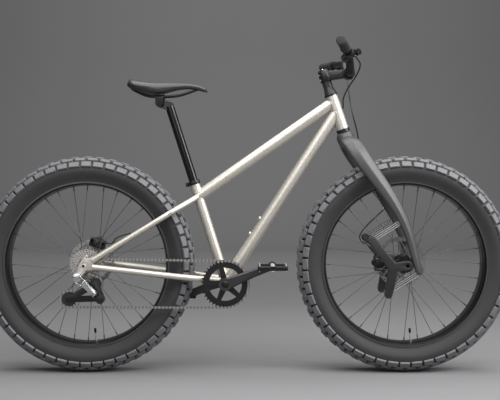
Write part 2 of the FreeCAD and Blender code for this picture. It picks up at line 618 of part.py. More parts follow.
def build_rotor(label, axle, offset, radius):
    """A brake rotor: slanted arms between the hub ring and the drilled band."""
    low = size(offset) - size("rotor_thickness / 2")
    high = low + size("rotor_thickness")
    outer = size(radius)
    band = outer - size("rotor_band")
    inner = size("rotor_seat_radius + seat_gap")
    ring = inner + size("rotor_ring")
    parts = [disc((0, 0), outer, low, high).cut(disc((0, 0), band, low - OVER, high + OVER)),
             disc((0, 0), ring, low, high)]
    arm = size("rotor_arm_radius")
    for index in range(ROTOR_ARMS):
        angle = 2 * math.pi * index / ROTOR_ARMS
        lean = angle + math.radians(ROTOR_ARM_LEAN)
        start = ((ring - arm) * math.cos(angle), (ring - arm) * math.sin(angle))
        end = ((band + arm) * math.cos(lean), (band + arm) * math.sin(lean))
        parts.append(slab(start, arm, end, arm, low, high))
    shape = joined(parts)
    holes = [disc((0, 0), inner, low - OVER, high + OVER)]
    for index in range(ROTOR_HOLES):
        share = ROTOR_HOLE_SHARES[index % len(ROTOR_HOLE_SHARES)]
        middle = band + share * (outer - band)
        angle = 2 * math.pi * index / ROTOR_HOLES
        holes.append(disc((middle * math.cos(angle), middle * math.sin(angle)), size("rotor_hole_radius"),
                          low - OVER, high + OVER))
    shape = shape.cut(holes)
    shape.translate(V(axle.x, 0, axle.z))
    keep(piece(label + "_plate", shape), label)


def caliper_shape(axle, offset, radius, angle):
    """A two part caliper over the rotor's edge; X of its placement points away from the axle."""
    turn = math.radians(angle)
    outward = V(math.cos(turn), 0, math.sin(turn))
    place = upright(axle + V(0, offset, 0), V(0, 1, 0), outward)
    length = size("caliper_length") / 2
    depth = size("caliper_depth")
    low = radius - depth + size("caliper_inset")
    half = size("caliper_half")
    body = block(place, V(low, -length, -half), V(low + depth, length, half))
    body = body.makeFillet(size("caliper_edge"), body.Edges)
    slot = size("caliper_slot") / 2
    slit = block(place, V(low - OVER, -length - OVER, -slot), V(radius + slot, length + OVER, slot))
    centre = place.multVec(V(radius - size("piston_radius"), 0, -half - size("piston_bulge")))
    bulge = Part.makeCylinder(size("piston_radius"), 2 * (half + size("piston_bulge")), centre, V(0, 1, 0))
    return body.fuse(bulge).removeSplitter().cut(slit), place


def build_rear_caliper():
    """The rear caliper, its foot on the left dropout and two bolt heads outside the dropout."""
    radius = size("rear_rotor_radius")
    shape, place = caliper_shape(REAR, size("rear_rotor_offset"), radius, size("rear_caliper_angle"))
    face = size("rear_hub_width / 2")
    centre = place.multVec(V(radius, 0, 0))
    foot = disc((centre.x, centre.z), size("brake_lobe_radius"),
                size("rear_rotor_offset + caliper_half / 2"), face)
    shape = shape.fuse(foot).removeSplitter()
    head = disc((centre.x, centre.z), size("mount_bolt_radius"), face + size("dropout_thickness"),
                face + size("dropout_thickness + mount_bolt_head"))
    keep(group("rear_caliper_set", [shape, head]), "rear_brake_caliper")
    return place


def build_headset_stack():
    """The cone, the spacer and the top cap that ride with the steerer."""
    bore = size("steerer_radius + seat_gap")
    start = size("head_tube_length + upper_cup_height") + GAP
    stem_low = size("stem_axis - stem_height / 2")
    cone_end = start + size("cone_height")
    cone = Part.makeCone(size("cone_base_radius"), size("cone_top_radius"), size("cone_height"),
                         on_head(start), HEAD_WAY)
    cone = cone.cut(Part.makeCylinder(bore, size("cone_height") + 2 * OVER, on_head(start - OVER), HEAD_WAY))
    spacer = ring_between(on_head(cone_end), HEAD_WAY, bore, size("spacer_radius"), stem_low - cone_end)
    stem_high = size("stem_axis + stem_height / 2")
    cap = Part.makeCylinder(size("spacer_radius"), size("top_cap_height"), on_head(stem_high), HEAD_WAY)
    keep(group("headset_stack", [cone, spacer, cap]), "headset_spacers")


BAR_CLAMP = on_head(size("stem_axis")) + V(size("stem_reach_x"), 0, size("stem_reach_z"))


def build_stem():
    """Stem and faceplate, bored for the steerer and split on the handlebar."""
    axis = on_head(size("stem_axis"))
    low = on_head(size("stem_axis - stem_height / 2"))
    tall = size("stem_height")
    steerer = Part.makeCylinder(size("stem_clamp_radius"), tall, low, HEAD_WAY)
    wide = size("bar_clamp_width")
    around = Part.makeCylinder(size("bar_radius + bar_clamp_wall"), wide, BAR_CLAMP - V(0, wide / 2, 0),
                               V(0, 1, 0))
    reach = BAR_CLAMP - axis
    place = upright(axis, V(0, 1, 0), reach)
    neck = size("stem_neck")
    arm = block(place, V(0, -neck, -neck), V(reach.Length, neck, neck))
    shape = joined([steerer, around, arm])
    bore = Part.makeCylinder(size("steerer_radius + seat_gap"), tall + 2 * OVER, low - HEAD_WAY * OVER,
                             HEAD_WAY)
    tunnel = Part.makeCylinder(size("bar_radius + seat_gap"), wide + 2 * OVER,
                               BAR_CLAMP - V(0, wide / 2 + OVER, 0), V(0, 1, 0))
    far = size("bar_radius + bar_clamp_wall") + OVER
    split = size("faceplate_gap / 2")
    ahead = block(place, V(reach.Length + split, -far, -wide), V(reach.Length + far, far, wide))
    behind = block(place, V(0, -far, -wide), V(reach.Length + split, far, wide))
    keep(piece("stem_whole", shape.cut([bore, tunnel, ahead])), "stem")
    behind.translate(V(reach).normalize() * (2 * split))
    plate = around.cut([tunnel, behind])
    bolts = []
    spread = size("stem_bolt_spread")
    bolt = size("stem_bolt_radius")
    for up in (-1, 1):
        for side in (-1, 1):
            level = up * size("bar_radius + bar_clamp_wall / 2")
            start = place.multVec(V(reach.Length + 3 * split, level, side * spread))
            bolts.append(Part.makeCylinder(bolt, 2 * size("bar_clamp_wall"), start, reach))
    keep(piece("faceplate_whole", joined([plate] + bolts).cut(tunnel)), "stem_faceplate")


BAR_SHARES = (
    # share of the bend length, share of the rise, share of the setback, share of the taper
    (0, 0, 0, 0), (0.22, 0.1, 0.06, 0.15), (0.5, 0.5, 0.4, 0.55), (0.78, 0.88, 0.75, 0.9), (1, 1, 1, 1),
)
BAR_ROOT = BAR_CLAMP + V(-size("bar_setback"), size("bar_bend_end"), size("bar_rise"))
BAR_TIP = BAR_CLAMP + V(-size("bar_tip_setback"), size("bar_half_width"), size("bar_tip_rise"))
BAR_WAY = V(BAR_TIP - BAR_ROOT).normalize()


def on_bar(distance):
    """A point on the left straight of the handlebar, by its distance from the middle plane."""
    return BAR_ROOT + BAR_WAY * ((distance - BAR_ROOT.y) / BAR_WAY.y)


def build_handlebar():
    """A riser bar: thick middle, rising tapered bends and straight swept ends, with grips."""
    bend = size("bar_bend_end - bar_bend_start")
    thick = size("bar_radius")
    thin = size("bar_end_radius")
    centres = []
    for along, rise, back, taper in BAR_SHARES:
        offset = V(-back * size("bar_setback"), size("bar_bend_start") + along * bend,
                   rise * size("bar_rise"))
        centres.append((BAR_CLAMP + offset, thick + taper * (thin - thick)))
    rings = []
    for index, (centre, radius) in enumerate(centres):
        before = centres[max(index - 1, 0)][0]
        after = centres[min(index + 1, len(centres) - 1)][0]
        way = after - before
        if index == 0:
            way = V(0, 1, 0)
        if index == len(centres) - 1:
            way = BAR_WAY
        rings.append(Part.Wire(Part.Circle(centre, way, radius).toShape()))
    rise = Part.makeLoft(rings, True, False)
    start = size("bar_bend_start")
    middle = Part.makeCylinder(thick, 2 * start, BAR_CLAMP - V(0, start, 0), V(0, 1, 0))
    straight = bar(BAR_ROOT, BAR_TIP, thin)
    shape = joined([middle, rise, straight, mirrored(rise), mirrored(straight)])
    keep(piece("riser_bar", shape), "handlebar")

    grip_start = BAR_TIP - BAR_WAY * size("grip_length")
    bore = thin + size("seat_gap")
    wide = size("grip_collar_radius")
    sleeve = ring_between(grip_start, BAR_WAY, bore, size("grip_radius"), size("grip_length"))
    collar = ring_between(grip_start, BAR_WAY, bore, wide, size("grip_collar_length"))
    tail = ring_between(BAR_TIP - BAR_WAY * size("grip_cap"), BAR_WAY, bore, wide,
                        size("grip_cap + seat_gap"))
    cap = Part.makeCylinder(wide, size("grip_cap"), BAR_TIP + BAR_WAY * size("seat_gap"), BAR_WAY)
    grip = joined([sleeve, collar, tail, cap])
    keep(group("grip_pair", [mirrored(grip), grip]), "grips")


def lever_place(distance):
    """A placement on the left straight: X outward along the bar, Y forward, Z down."""
    droop = math.radians(size("lever_droop"))
    ahead = V(math.cos(droop), 0, -math.sin(droop))
    ahead = V(ahead - BAR_WAY * ahead.dot(BAR_WAY)).normalize()
    return FreeCAD.Placement(on_bar(distance), FreeCAD.Rotation(BAR_WAY, ahead, V(0, 0, 0), "XYZ"))


def flat_link(p, p_radius, q, q_radius, low, high):
    """A plate with round ends in the XY plane of a placement still to be set."""
    shape = slab(p, p_radius, q, q_radius, low, high)
    shape.rotate(V(0, 0, 0), V(1, 0, 0), -90)
    return shape


def build_levers():
    """Brake lever bodies and their blades; the blade turns on a pin in the yoke."""
    place = lever_place(size("lever_place"))
    wide = size("lever_clamp_width")
    bore = size("bar_end_radius + seat_gap")
    clamp = Part.makeCylinder(size("lever_clamp_radius"), wide, V(-wide / 2, 0, 0), V(1, 0, 0))
    reach = size("lever_body_reach")
    length = size("lever_body_length")
    out = size("pivot_out")
    tank = Part.makeCylinder(size("lever_body_radius"), length, V(out - length, reach, 0), V(1, 0, 0))
    neck = Part.makeBox(wide, reach, wide, V(-wide / 2, 0, -wide / 2))
    pivot = (out, size("pivot_reach"))
    yoke = size("blade_thickness / 2") + GAP
    thick = size("yoke_thickness")
    radius = size("pivot_radius")
    root = (0, reach)
    cheeks = [flat_link(root, radius, pivot, radius, -yoke - thick, -yoke),
              flat_link(root, radius, pivot, radius, yoke, yoke + thick)]
    whole = joined([clamp, tank, neck] + cheeks)
    swing = Part.makeCylinder(radius + 2 * GAP, 2 * yoke, V(pivot[0], pivot[1], -yoke))
    swing = swing.fuse(Part.makeBox(length, length, 2 * yoke,
                                    V(pivot[0] - radius, pivot[1] - radius - GAP, -yoke)))
    pin = Part.makeCylinder(size("pivot_pin_radius"), 2 * (yoke + thick),
                            V(pivot[0], pivot[1], -yoke - thick))
    whole = whole.cut([Part.makeCylinder(bore, length, V(-length / 2, 0, 0), V(1, 0, 0)), swing])
    whole = max(whole.fuse(pin).removeSplitter().Solids, key=lambda s: s.Volume)
    knee = (size("blade_knee_out"), size("blade_reach"))
    tip = (size("blade_out"), size("blade_reach"))
    half = size("blade_thickness / 2")
    blade = joined([
        flat_link(pivot, size("blade_root_radius"), knee, size("blade_tip_radius"), -half, half),
        flat_link(knee, size("blade_tip_radius"), tip, size("blade_tip_radius"), -half, half),
    ])
    blade = blade.cut(Part.makeCylinder(size("pivot_pin_radius + running_clearance"), 4 * half,
                                        V(pivot[0], pivot[1], -2 * half)))
    whole.Placement = place.multiply(whole.Placement)
    blade.Placement = place.multiply(blade.Placement)
    keep(group("lever_body_pair", [mirrored(whole), whole]), "brake_lever_bodies")
    keep(piece("blade_right", mirrored(blade)), "brake_lever_right")
    keep(piece("blade_left", blade), "brake_lever_left")
    hinge = place.multVec(V(pivot[0], pivot[1], 0))
    axis = place.Rotation.multVec(V(0, 0, 1))
    print("lever hinge left", hinge, axis)

    place = lever_place(size("pod_place"))
    drop = size("pod_drop")
    clamp = Part.makeCylinder(size("lever_clamp_radius"), wide, V(-wide / 2, 0, 0), V(1, 0, 0))
    long = size("pod_length")
    body = Part.makeCylinder(size("pod_radius"), long, V(-long + wide / 2, 0, drop), V(1, 0, 0))
    neck = Part.makeBox(wide, wide, drop, V(-wide / 2, -wide / 2, 0))
    pad = size("paddle_length")
    inner = size("paddle_pin_radius")
    pod = joined([clamp, body, neck]).cut(Part.makeCylinder(bore, long, V(-long / 2, 0, 0), V(1, 0, 0)))
    pin = Part.makeCylinder(inner, pad, V(wide / 2, 0, drop), V(1, 0, 0))
    pod = pod.fuse(pin).removeSplitter()
    start = wide / 2 + GAP
    sleeve = Part.makeCylinder(2 * inner, pad, V(start, 0, drop), V(1, 0, 0))
    flat = size("paddle_thickness")
    blade = Part.makeBox(pad, size("paddle_reach"), flat, V(start, 0, drop - flat / 2))
    blade.rotate(V(0, 0, drop), V(1, 0, 0), -size("lever_droop"))
    paddle = sleeve.fuse(blade).removeSplitter()
    paddle = paddle.cut(Part.makeCylinder(inner + size("running_clearance"), 2 * pad, V(0, 0, drop),
                                          V(1, 0, 0)))
    pod.Placement = place.multiply(pod.Placement)
    paddle.Placement = place.multiply(paddle.Placement)
    keep(piece("shift_pod_body", mirrored(pod)), "shift_pod")
    keep(piece("shift_paddle_body", mirrored(paddle)), "shift_paddle")
    hinge = place.multVec(V(start, 0, drop))
    print("paddle hinge left", hinge, place.Rotation.multVec(V(1, 0, 0)))


LEG_SHARES = (
    # shares of the reach, the spread, the drop, the depth and the thickness, from the crown to the tip
    (0, 0.44, 0, 0.94, 1.25),
    (0.11, 0.83, 0.085, 1, 1.1),
    (0.33, 0.955, 0.25, 0.84, 1),
    (0.597, 0.99, 0.44, 0.69, 0.94),
    (0.803, 1, 0.64, 0.54, 0.88),
    (0.908, 1, 0.82, 0.48, 0.86),
    (1, 1, 1, 0.34, 0.86),
)
LEG_CORNER_SHARES = (
    # shares of the half depth and of the half thickness round one section
    (1, 0.35), (0.72, 1), (-0.62, 1), (-1, 0.55), (-1, -0.55), (-0.62, -1), (0.72, -1), (1, -0.35),
)


def leg_point(row):
    """The centre of one section of the left fork leg."""
    crown = on_head(-size("lower_cup_height + crown_gap + crown_drop")) + HEAD_FRONT * size("crown_forward")
    foot = FRONT + V(size("leg_foot_x"), size("leg_spread"), size("leg_foot_z"))
    return crown + V(row[0] * (foot.x - crown.x), row[1] * foot.y, row[2] * (foot.z - crown.z))


def build_fork():
    """Steerer, crown and legs in one moulding, lofted through faceted sections."""
    centres = [leg_point(row) for row in LEG_SHARES]
    wires = []
    for index, row in enumerate(LEG_SHARES):
        before = centres[max(index - 1, 0)]
        after = centres[min(index + 1, len(centres) - 1)]
        way = V(after - before).normalize()
        if index == 0:
            way = V(0, 1, 0)
        ahead = V(HEAD_FRONT - way * HEAD_FRONT.dot(way)).normalize()
        side = way.cross(ahead)
        corners = []
        for deep, wide in LEG_CORNER_SHARES:
            corners.append(centres[index] + ahead * (deep * row[3] * size("leg_depth") / 2)
                           + side * (wide * row[4] * size("leg_thickness") / 2))
        wires.append(Part.makePolygon(corners + corners[:1]))
    leg = Part.makeLoft(wires, True, False)
    far = wires[0].copy()
    far.translate(V(0, -centres[0].y * 2, 0))
    bridge = Part.makeLoft([far, wires[0]], True, True)
    top = size("lower_cup_height + crown_gap")
    base = on_head(-top - size("crown_drop"))
    race = Part.makeCone(size("race_radius + crown_height / 4"), size("race_radius"), size("crown_drop"),
                         base,
                         HEAD_WAY)
    long = size("steerer_top + crown_drop") + top
    steerer = Part.makeCylinder(size("steerer_radius"), long, base, HEAD_WAY)
    shape = joined([bridge, leg, mirrored(leg), race, steerer])
    below = size("crown_drop + crown_height")
    bore = Part.makeCylinder(size("steerer_bore"), long + 2 * below, base - HEAD_WAY * below, HEAD_WAY)
    shape = shape.cut(bore)
    keep(piece("fork_moulding", shape), "fork")
    return shape


SPRING_LEAVES = (-1, 0, 1)


def build_springs(fork):
    """Leaf spring stacks and the axle carriers whose slots take the spring ends."""
    lean = math.radians(size("spring_angle"))
    back = V(-math.cos(lean), 0, -math.sin(lean))
    up = V(-math.sin(lean), 0, math.cos(lean))
    middle = size("carrier_inner + carrier_outer") / 2
    wide = size("spring_width")
    thick = size("spring_thickness")
    long = size("spring_length")
    slack = size("spring_slot_gap")
    leaves = []
    slots = []
    ends = []
    for leg_x, leg_z in (("upper_leg_x", "upper_leg_z"), ("lower_leg_x", "lower_leg_z")):
        root = FRONT + V(size(leg_x), middle, size(leg_z))
        place = FreeCAD.Placement(root, FreeCAD.Rotation(back, V(0, 1, 0), V(0, 0, 0), "XYZ"))
        for leaf in SPRING_LEAVES:
            level = leaf * size("spring_pitch")
            leaves.append(block(place, V(-wide, -wide / 2, level - thick / 2),
                                V(long, wide / 2, level + thick / 2)))
            slots.append(block(place, V(-wide, -wide / 2 - slack, level - thick / 2 - slack),
                               V(long + slack, wide / 2 + slack, level + thick / 2 + slack)))
        ends.append(root + back * (long - size("spring_slot") / 2))
    low = size("carrier_inner")
    high = size("carrier_outer")
    axle = (FRONT.x, FRONT.z)
    elbow = (FRONT.x + size("carrier_elbow_x"), FRONT.z + size("carrier_elbow_z"))
    head = (ends[0].x, ends[0].z)
    sole = ends[1] - up * size("carrier_foot_drop")
    foot = (sole.x, sole.z)
    boss = size("carrier_boss_radius")
    carrier = joined([
        slab(head, size("carrier_top_radius"), elbow, size("carrier_elbow_radius"), low, high),
        slab(elbow, size("carrier_elbow_radius"), axle, boss, low, high),
        slab(elbow, size("carrier_elbow_radius"), foot, size("carrier_foot_radius"), low, high),
    ])
    hole = disc(axle, size("front_axle_radius + seat_gap"), low - OVER, high + OVER)
    carrier = carrier.cut(slots + [hole])
    carrier = max(carrier.Solids, key=lambda s: s.Volume)
    solids = []
    for leaf in leaves:
        rest = leaf.cut(fork)
        solids.append(max(rest.Solids, key=lambda s: s.CenterOfMass.x * -1))
    keep(group("leaf_spring_set", [mirrored(s) for s in solids] + solids), "leaf_springs")
    keep(group("carrier_pair", [mirrored(carrier), carrier]), "fork_carriers")

    half = "carrier_outer"
    keep(revolved("front_axle_body", [
        ("front_axle_bore", "-(%s)" % half), ("front_axle_radius", "-(%s)" % half),
        ("front_axle_radius", half), ("axle_head_radius", half),
        ("axle_head_radius", half + " + front_axle_head"), ("front_axle_bore", half + " + front_axle_head"),
    ], across(FRONT)), "front_axle")

    radius = size("front_rotor_radius")
    shape, place = caliper_shape(FRONT, size("front_rotor_offset"), radius, size("front_caliper_angle"))
    spot = place.multVec(V(radius, 0, 0))
    tab = slab((spot.x, spot.z), size("piston_radius"), elbow, size("carrier_elbow_radius"), low, high)
    tab = tab.cut(carrier)
    tab = max(tab.Solids, key=lambda s: s.Volume)
    caliper = shape.fuse(tab).removeSplitter().cut(carrier)
    caliper = max(caliper.Solids, key=lambda s: s.Volume)
    keep(piece("front_caliper_set", caliper), "front_brake_caliper")
    return place


ARM_FACET_SHARE = 0.35


def build_cranks():
    """Crank arms with the spindle on the right arm, pedal axles and pedals."""
    angle = math.radians(size("crank_angle"))
    way = V(math.cos(angle), 0, math.sin(angle))
    reach = size("crank_length")
    tip = CRANK + way * reach
    across_way = V(-way.z, 0, way.x)

    def section(centre, half_width, low, high):
        edge = ARM_FACET_SHARE * (high - low)
        rows = [(-half_width, low), (half_width, low), (half_width, high - edge), (half_width - edge, high),
                (-half_width + edge, high), (-half_width, high - edge)]
        corners = [centre + across_way * a + V(0, b, 0) for a, b in rows]
        return Part.makePolygon(corners + corners[:1])

    def arm(bore):
        root = size("arm_root_radius")
        end = size("arm_tip_radius")
        blade = Part.makeLoft([
            section(CRANK, root, size("arm_inner"), size("arm_outer")),
            section(CRANK + way * (reach / 2), (root + end) / 2 - size("arm_waist"),
                    size("arm_inner + arm_tip_inner") / 2, size("arm_outer + arm_tip_outer") / 2),
            section(tip, end, size("arm_tip_inner"), size("arm_tip_outer")),
        ], True, False)
        boss = disc((CRANK.x, CRANK.z), root, size("arm_inner"), size("arm_outer"))
        eye = disc((tip.x, tip.z), end, size("arm_tip_inner"), size("arm_tip_outer"))
        whole = joined([blade, boss, eye])
        hole = disc((tip.x, tip.z), size("pedal_axle_radius + seat_gap"), size("arm_tip_inner") - OVER,
                    size("arm_tip_outer") + OVER)
        seat = disc((CRANK.x, CRANK.z), bore, 0, size("arm_outer") + OVER)
        return whole.cut([hole, seat])

    left = arm(size("spindle_radius + seat_gap"))
    left.rotate(CRANK, V(0, 1, 0), 180)
    right_arm = mirrored(arm(size("spindle_bore")))
    spindle = ring_between(CRANK - V(0, size("arm_inner"), 0), V(0, 1, 0), size("spindle_bore"),
                           size("spindle_radius"), size("arm_inner + arm_outer"))
    keep(group("crank_pair", [joined([right_arm, spindle]), left]), "crank_arms")

    def axle_shape():
        start = size("arm_tip_inner")
        shaft = disc((0, 0), size("pedal_axle_radius"), start, start + size("pedal_axle_length"))
        lip = disc((0, 0), size("pedal_shoulder"), size("arm_tip_outer"),
                   size("arm_tip_outer + pedal_gap") - GAP)
        return joined([shaft, lip])

    def pedal_shape():
        inner = size("arm_tip_outer + pedal_gap")
        outer = inner + size("pedal_width")
        half = size("pedal_length") / 2
        flat = size("pedal_thickness") / 2
        rail = size("pedal_rail")
        origin = FreeCAD.Placement()
        tube = disc((0, 0), size("pedal_tube_radius"), inner, outer)
        frame = block(origin, V(-half, inner, -flat), V(half, outer, flat))
        frame = frame.makeFillet(flat / 2, frame.Edges)
        windows = []
        depth = (half - rail - size("pedal_tube_radius"))
        span = (size("pedal_width") - 3 * rail) / 2
        for side in (-1, 1):
            near = min(side * size("pedal_tube_radius"), side * (half - rail))
            for low in (inner + rail, inner + size("pedal_width") / 2 + rail / 2):
                windows.append(block(origin, V(near, low, -flat - OVER),
                                     V(near + depth, low + span, flat + OVER)))
        body = frame.cut(windows).fuse(tube)
        pins = []
        high = flat + size("pin_height")
        for side in (-1, 1):
            for share in PEDAL_PIN_SHARES:
                spot = V(side * (half - rail / 2), inner + share * size("pedal_width"), -high)
                pins.append(Part.makeCylinder(size("pin_radius"), 2 * high, spot))
        body = body.multiFuse(pins).removeSplitter()
        hole = disc((0, 0), size("pedal_axle_radius + running_clearance"), inner - OVER,
                    size("arm_tip_inner + pedal_axle_length") + GAP)
        return body.cut(hole)

    axle = axle_shape()
    left_axle = axle.copy()
    left_axle.translate(CRANK * 2 - tip)
    right_axle = mirrored(axle)
    right_axle.translate(tip)
    keep(group("pedal_axle_pair", [right_axle, left_axle]), "pedal_axles")
    pedal = pedal_shape()
    left_pedal = pedal.copy()
    left_pedal.translate(CRANK * 2 - tip)
    right_pedal = mirrored(pedal)
    right_pedal.translate(tip)
    keep(piece("pedal_right_body", right_pedal), "pedal_right")
    keep(piece("pedal_left_body", left_pedal), "pedal_left")
    print("pedal spots", tip, CRANK * 2 - tip)


PEDAL_PIN_SHARES = (0.08, 0.36, 0.64, 0.92)
RING_TEETH = 40
COG_TEETH = (11, 12, 13, 14, 15, 17, 19, 21, 23, 25, 28)
UPPER_PULLEY_TEETH = 12
LOWER_PULLEY_TEETH = 14


def pitch_radius(teeth):
    """Radius of the circle through the pins on a sprocket."""
    return size("chain_pitch") / (2 * math.sin(math.pi / teeth))


def sprocket_face(teeth, phase, level):
    """The toothed outline of a sprocket with a gap at the phase angle."""
    radius = pitch_radius(teeth)
    seat = size("roller_radius + seating_clearance")
    tip = radius + size("tooth_tip")
    land = size("tooth_land")
    step = 2 * math.pi / teeth

    def at(r, a):
        return V(r * math.cos(a), level, r * math.sin(a))

    def tangent(point, centre, sign):
        toward = point - centre
        lean = math.atan2(toward.z, toward.x) + sign * math.acos(seat / toward.Length)
        return centre + V(seat * math.cos(lean), 0, seat * math.sin(lean))

    edges = []
    for index in range(teeth):
        angle = phase + index * step
        centre = at(radius, angle)
        before = at(tip, angle - step / 2 + land / tip)
        after = at(tip, angle + step / 2 - land / tip)
        following = at(tip, angle + step / 2 + land / tip)
        start = tangent(before, centre, -1)
        end = tangent(after, centre, 1)
        edges.append(Part.LineSegment(before, start).toShape())
        edges.append(Part.Arc(start, at(radius - seat, angle), end).toShape())
        edges.append(Part.LineSegment(end, after).toShape())
        edges.append(Part.LineSegment(after, following).toShape())
    return Part.Face(Part.Wire(edges))


def chain_route(swing):
    """Tangent runs and wraps of the chain for one angle of the cage."""
    pivot = V(REAR.x + size("cage_pivot_x"), 0, REAR.z + size("cage_pivot_z"))
    turn = FreeCAD.Rotation(V(0, 1, 0), math.degrees(swing))
    upper = pivot + turn.multVec(V(size("upper_pulley_x"), 0, size("upper_pulley_z")))
    lower = pivot + turn.multVec(V(size("lower_pulley_x"), 0, size("lower_pulley_z")))
    wheels = [(CRANK, RING_TEETH, 1), (REAR, COG_TEETH[0], 1), (upper, UPPER_PULLEY_TEETH, -1),
              (lower, LOWER_PULLEY_TEETH, 1)]
    runs = []
    for index, (centre, teeth, sign) in enumerate(wheels):
        other, other_teeth, other_sign = wheels[(index + 1) % len(wheels)]
        gap = other - centre
        lean = (other_sign * pitch_radius(other_teeth) - sign * pitch_radius(teeth)) / gap.Length
        way = math.atan2(gap.z, gap.x) - math.asin(lean)
        normal = V(-math.sin(way), 0, math.cos(way))
        start = centre - normal * (sign * pitch_radius(teeth))
        end = other - normal * (other_sign * pitch_radius(other_teeth))
        runs.append((start, end, way))
    total = 0
    parts = []
    pitch = size("chain_pitch")
    for index, (start, end, way) in enumerate(runs):
        parts.append(("run", start, end, (end - start).Length / pitch))
        centre, teeth, sign = wheels[(index + 1) % len(wheels)]
        leave = runs[(index + 1) % len(runs)][2]
        wrap = (sign * (leave - way)) % (2 * math.pi)
        begin = way - sign * math.pi / 2
        parts.append(("wrap", centre, (begin, sign, teeth), teeth * wrap / (2 * math.pi)))
    total = sum(part[3] for part in parts)
    return total, parts, upper, lower, pivot


SWING_LIMIT = math.radians(18)
SOLVE_STEPS = 60


def solve_chain():
    """The cage angle at which the chain closes on a whole even number of links."""
    wanted = 2 * round(chain_route(0)[0] / 2)
    low, high = -SWING_LIMIT, SWING_LIMIT
    rising = chain_route(high)[0] > chain_route(low)[0]
    for _ in range(SOLVE_STEPS):
        middle = (low + high) / 2
        if (chain_route(middle)[0] < wanted) == rising:
            low = middle
        else:
            high = middle
    total, parts, upper, lower, pivot = chain_route(low)
    print("chain links", wanted, "total", total, "cage turn", math.degrees(low))
    pins = []
    phases = {}
    place = 0.0
    for kind, first, second, count in parts:
        index = math.ceil(place - 1e-9)
        while index < place + count - 1e-9:
            share = index - place
            if kind == "run":
                pins.append(first + (second - first) * (share / count))
            else:
                begin, sign, teeth = second
                angle = begin + sign * share * 2 * math.pi / teeth
                radius = pitch_radius(teeth)
                pins.append(first + V(radius * math.cos(angle), 0, radius * math.sin(angle)))
                phases.setdefault((round(first.x), round(first.z)), angle)
            index += 1
        place += count
    return pins, phases, upper, lower, pivot


def plate_shape(low, high):
    """One chain plate, waisted between its pins."""
    end = size("plate_end_radius")
    pitch = size("chain_pitch")
    waist = size("plate_waist_radius")
    eyes = [disc((0, 0), end, low, high), disc((pitch, 0), end, low, high)]
    bridge = Part.makeBox(pitch, high - low, 2 * waist, V(0, low, -waist))
    return joined(eyes + [bridge])


def build_chain(pins):
    """Inner links with their rollers, then the outer plates between them."""
    half = size("chain_inner_width / 2")
    thick = size("inner_plate")
    outer = size("outer_plate")
    pitch = size("chain_pitch")
    roller = size("roller_radius")
    inner = joined([plate_shape(-half - thick, -half), plate_shape(half, half + thick),
                    disc((0, 0), roller, -half, half), disc((pitch, 0), roller, -half, half)])
    near = plate_shape(-half - thick - outer, -half - thick)
    far = plate_shape(half + thick, half + thick + outer)
    solids = []
    level = V(0, -size("chainline"), 0)
    for index, pin in enumerate(pins):
        following = pins[(index + 1) % len(pins)]
        way = following - pin
        turn = FreeCAD.Rotation(V(0, 1, 0), -math.degrees(math.atan2(way.z, way.x)))
        place = FreeCAD.Placement(pin + level, turn)
        for template in ([inner] if index % 2 == 0 else [near, far]):
            solid = template.copy()
            solid.Placement = place.multiply(solid.Placement)
            solids.append(solid)
    keep(group("chain_links", solids), "chain")


RING_ARMS = 5
RING_ARM_PHASE = 0.55


def build_sprockets(phases, upper, lower):
    """Chainring, cassette and the two pulleys, each with a tooth gap under a chain pin."""
    level = -size("chainline")
    tooth = size("tooth_thickness")

    def phase_of(centre):
        return phases[(round(centre.x), round(centre.z))]

    low = level - tooth / 2
    teeth = sprocket_face(RING_TEETH, phase_of(CRANK), low).extrude(V(0, tooth, 0))
    inner = pitch_radius(RING_TEETH) - size("roller_radius + ring_web")
    web_low = level - size("ring_thickness") / 2
    web_high = web_low + size("ring_thickness")
    rim_out = inner + size("ring_web / 2")
    rim_in = inner - size("ring_web / 2")
    hub = size("ring_spider_radius")
    web = [disc((0, 0), hub, web_low, web_high),
           disc((0, 0), rim_out, web_low, web_high).cut(
               disc((0, 0), rim_in, web_low - OVER, web_high + OVER))]
    for index in range(RING_ARMS):
        angle = RING_ARM_PHASE + 2 * math.pi * index / RING_ARMS
        spot = (inner * math.cos(angle), inner * math.sin(angle))
        web.append(slab((0, 0), hub / 2, spot, size("ring_arm_radius"), web_low, web_high))
    band = teeth.cut(disc((0, 0), rim_in, low - OVER, low + tooth + OVER))
    ring = joined([band] + web)
    bore = disc((0, 0), size("spindle_radius + seat_gap"), web_low - OVER, web_high + OVER)
    ring = ring.cut(bore)
    ring.translate(V(CRANK.x, 0, CRANK.z))
    keep(piece("chainring_plate", ring), "chainring")

    bore = size("freehub_radius + running_clearance")
    cogs = []
    for index, count in enumerate(COG_TEETH):
        place = low + index * size("cog_pitch")
        turn = phase_of(REAR)
        cogs.append(sprocket_face(count, turn, place).extrude(V(0, tooth, 0)))
    start = -size("chainline + cassette_core")
    end = level + (len(COG_TEETH) - 1) * size("cog_pitch") + tooth / 2
    small = pitch_radius(COG_TEETH[0]) - size("roller_radius + cog_bore_wall")
    core = disc((0, 0), small, start, end)
    cassette = joined([core] + cogs)
    cassette = cassette.cut(disc((0, 0), bore, start - OVER, end + OVER))
    cassette.translate(V(REAR.x, 0, REAR.z))
    keep(piece("cassette_stack", cassette), "cassette")

    pulleys = (("pulley_upper", upper, UPPER_PULLEY_TEETH), ("pulley_lower", lower, LOWER_PULLEY_TEETH))
    for label, centre, count in pulleys:
        wheel = sprocket_face(count, phase_of(centre), low).extrude(V(0, tooth, 0))
        wide = size("cage_inside / 2") - GAP
        boss = disc((0, 0), size("cage_end_radius - cage_plate"), level - wide, level + wide)
        wheel = joined([wheel, boss]).cut(disc((0, 0), size("pulley_bore"), level - OVER, level + OVER))
        wheel.translate(V(centre.x, 0, centre.z))
        keep(piece(label + "_wheel", wheel), label)


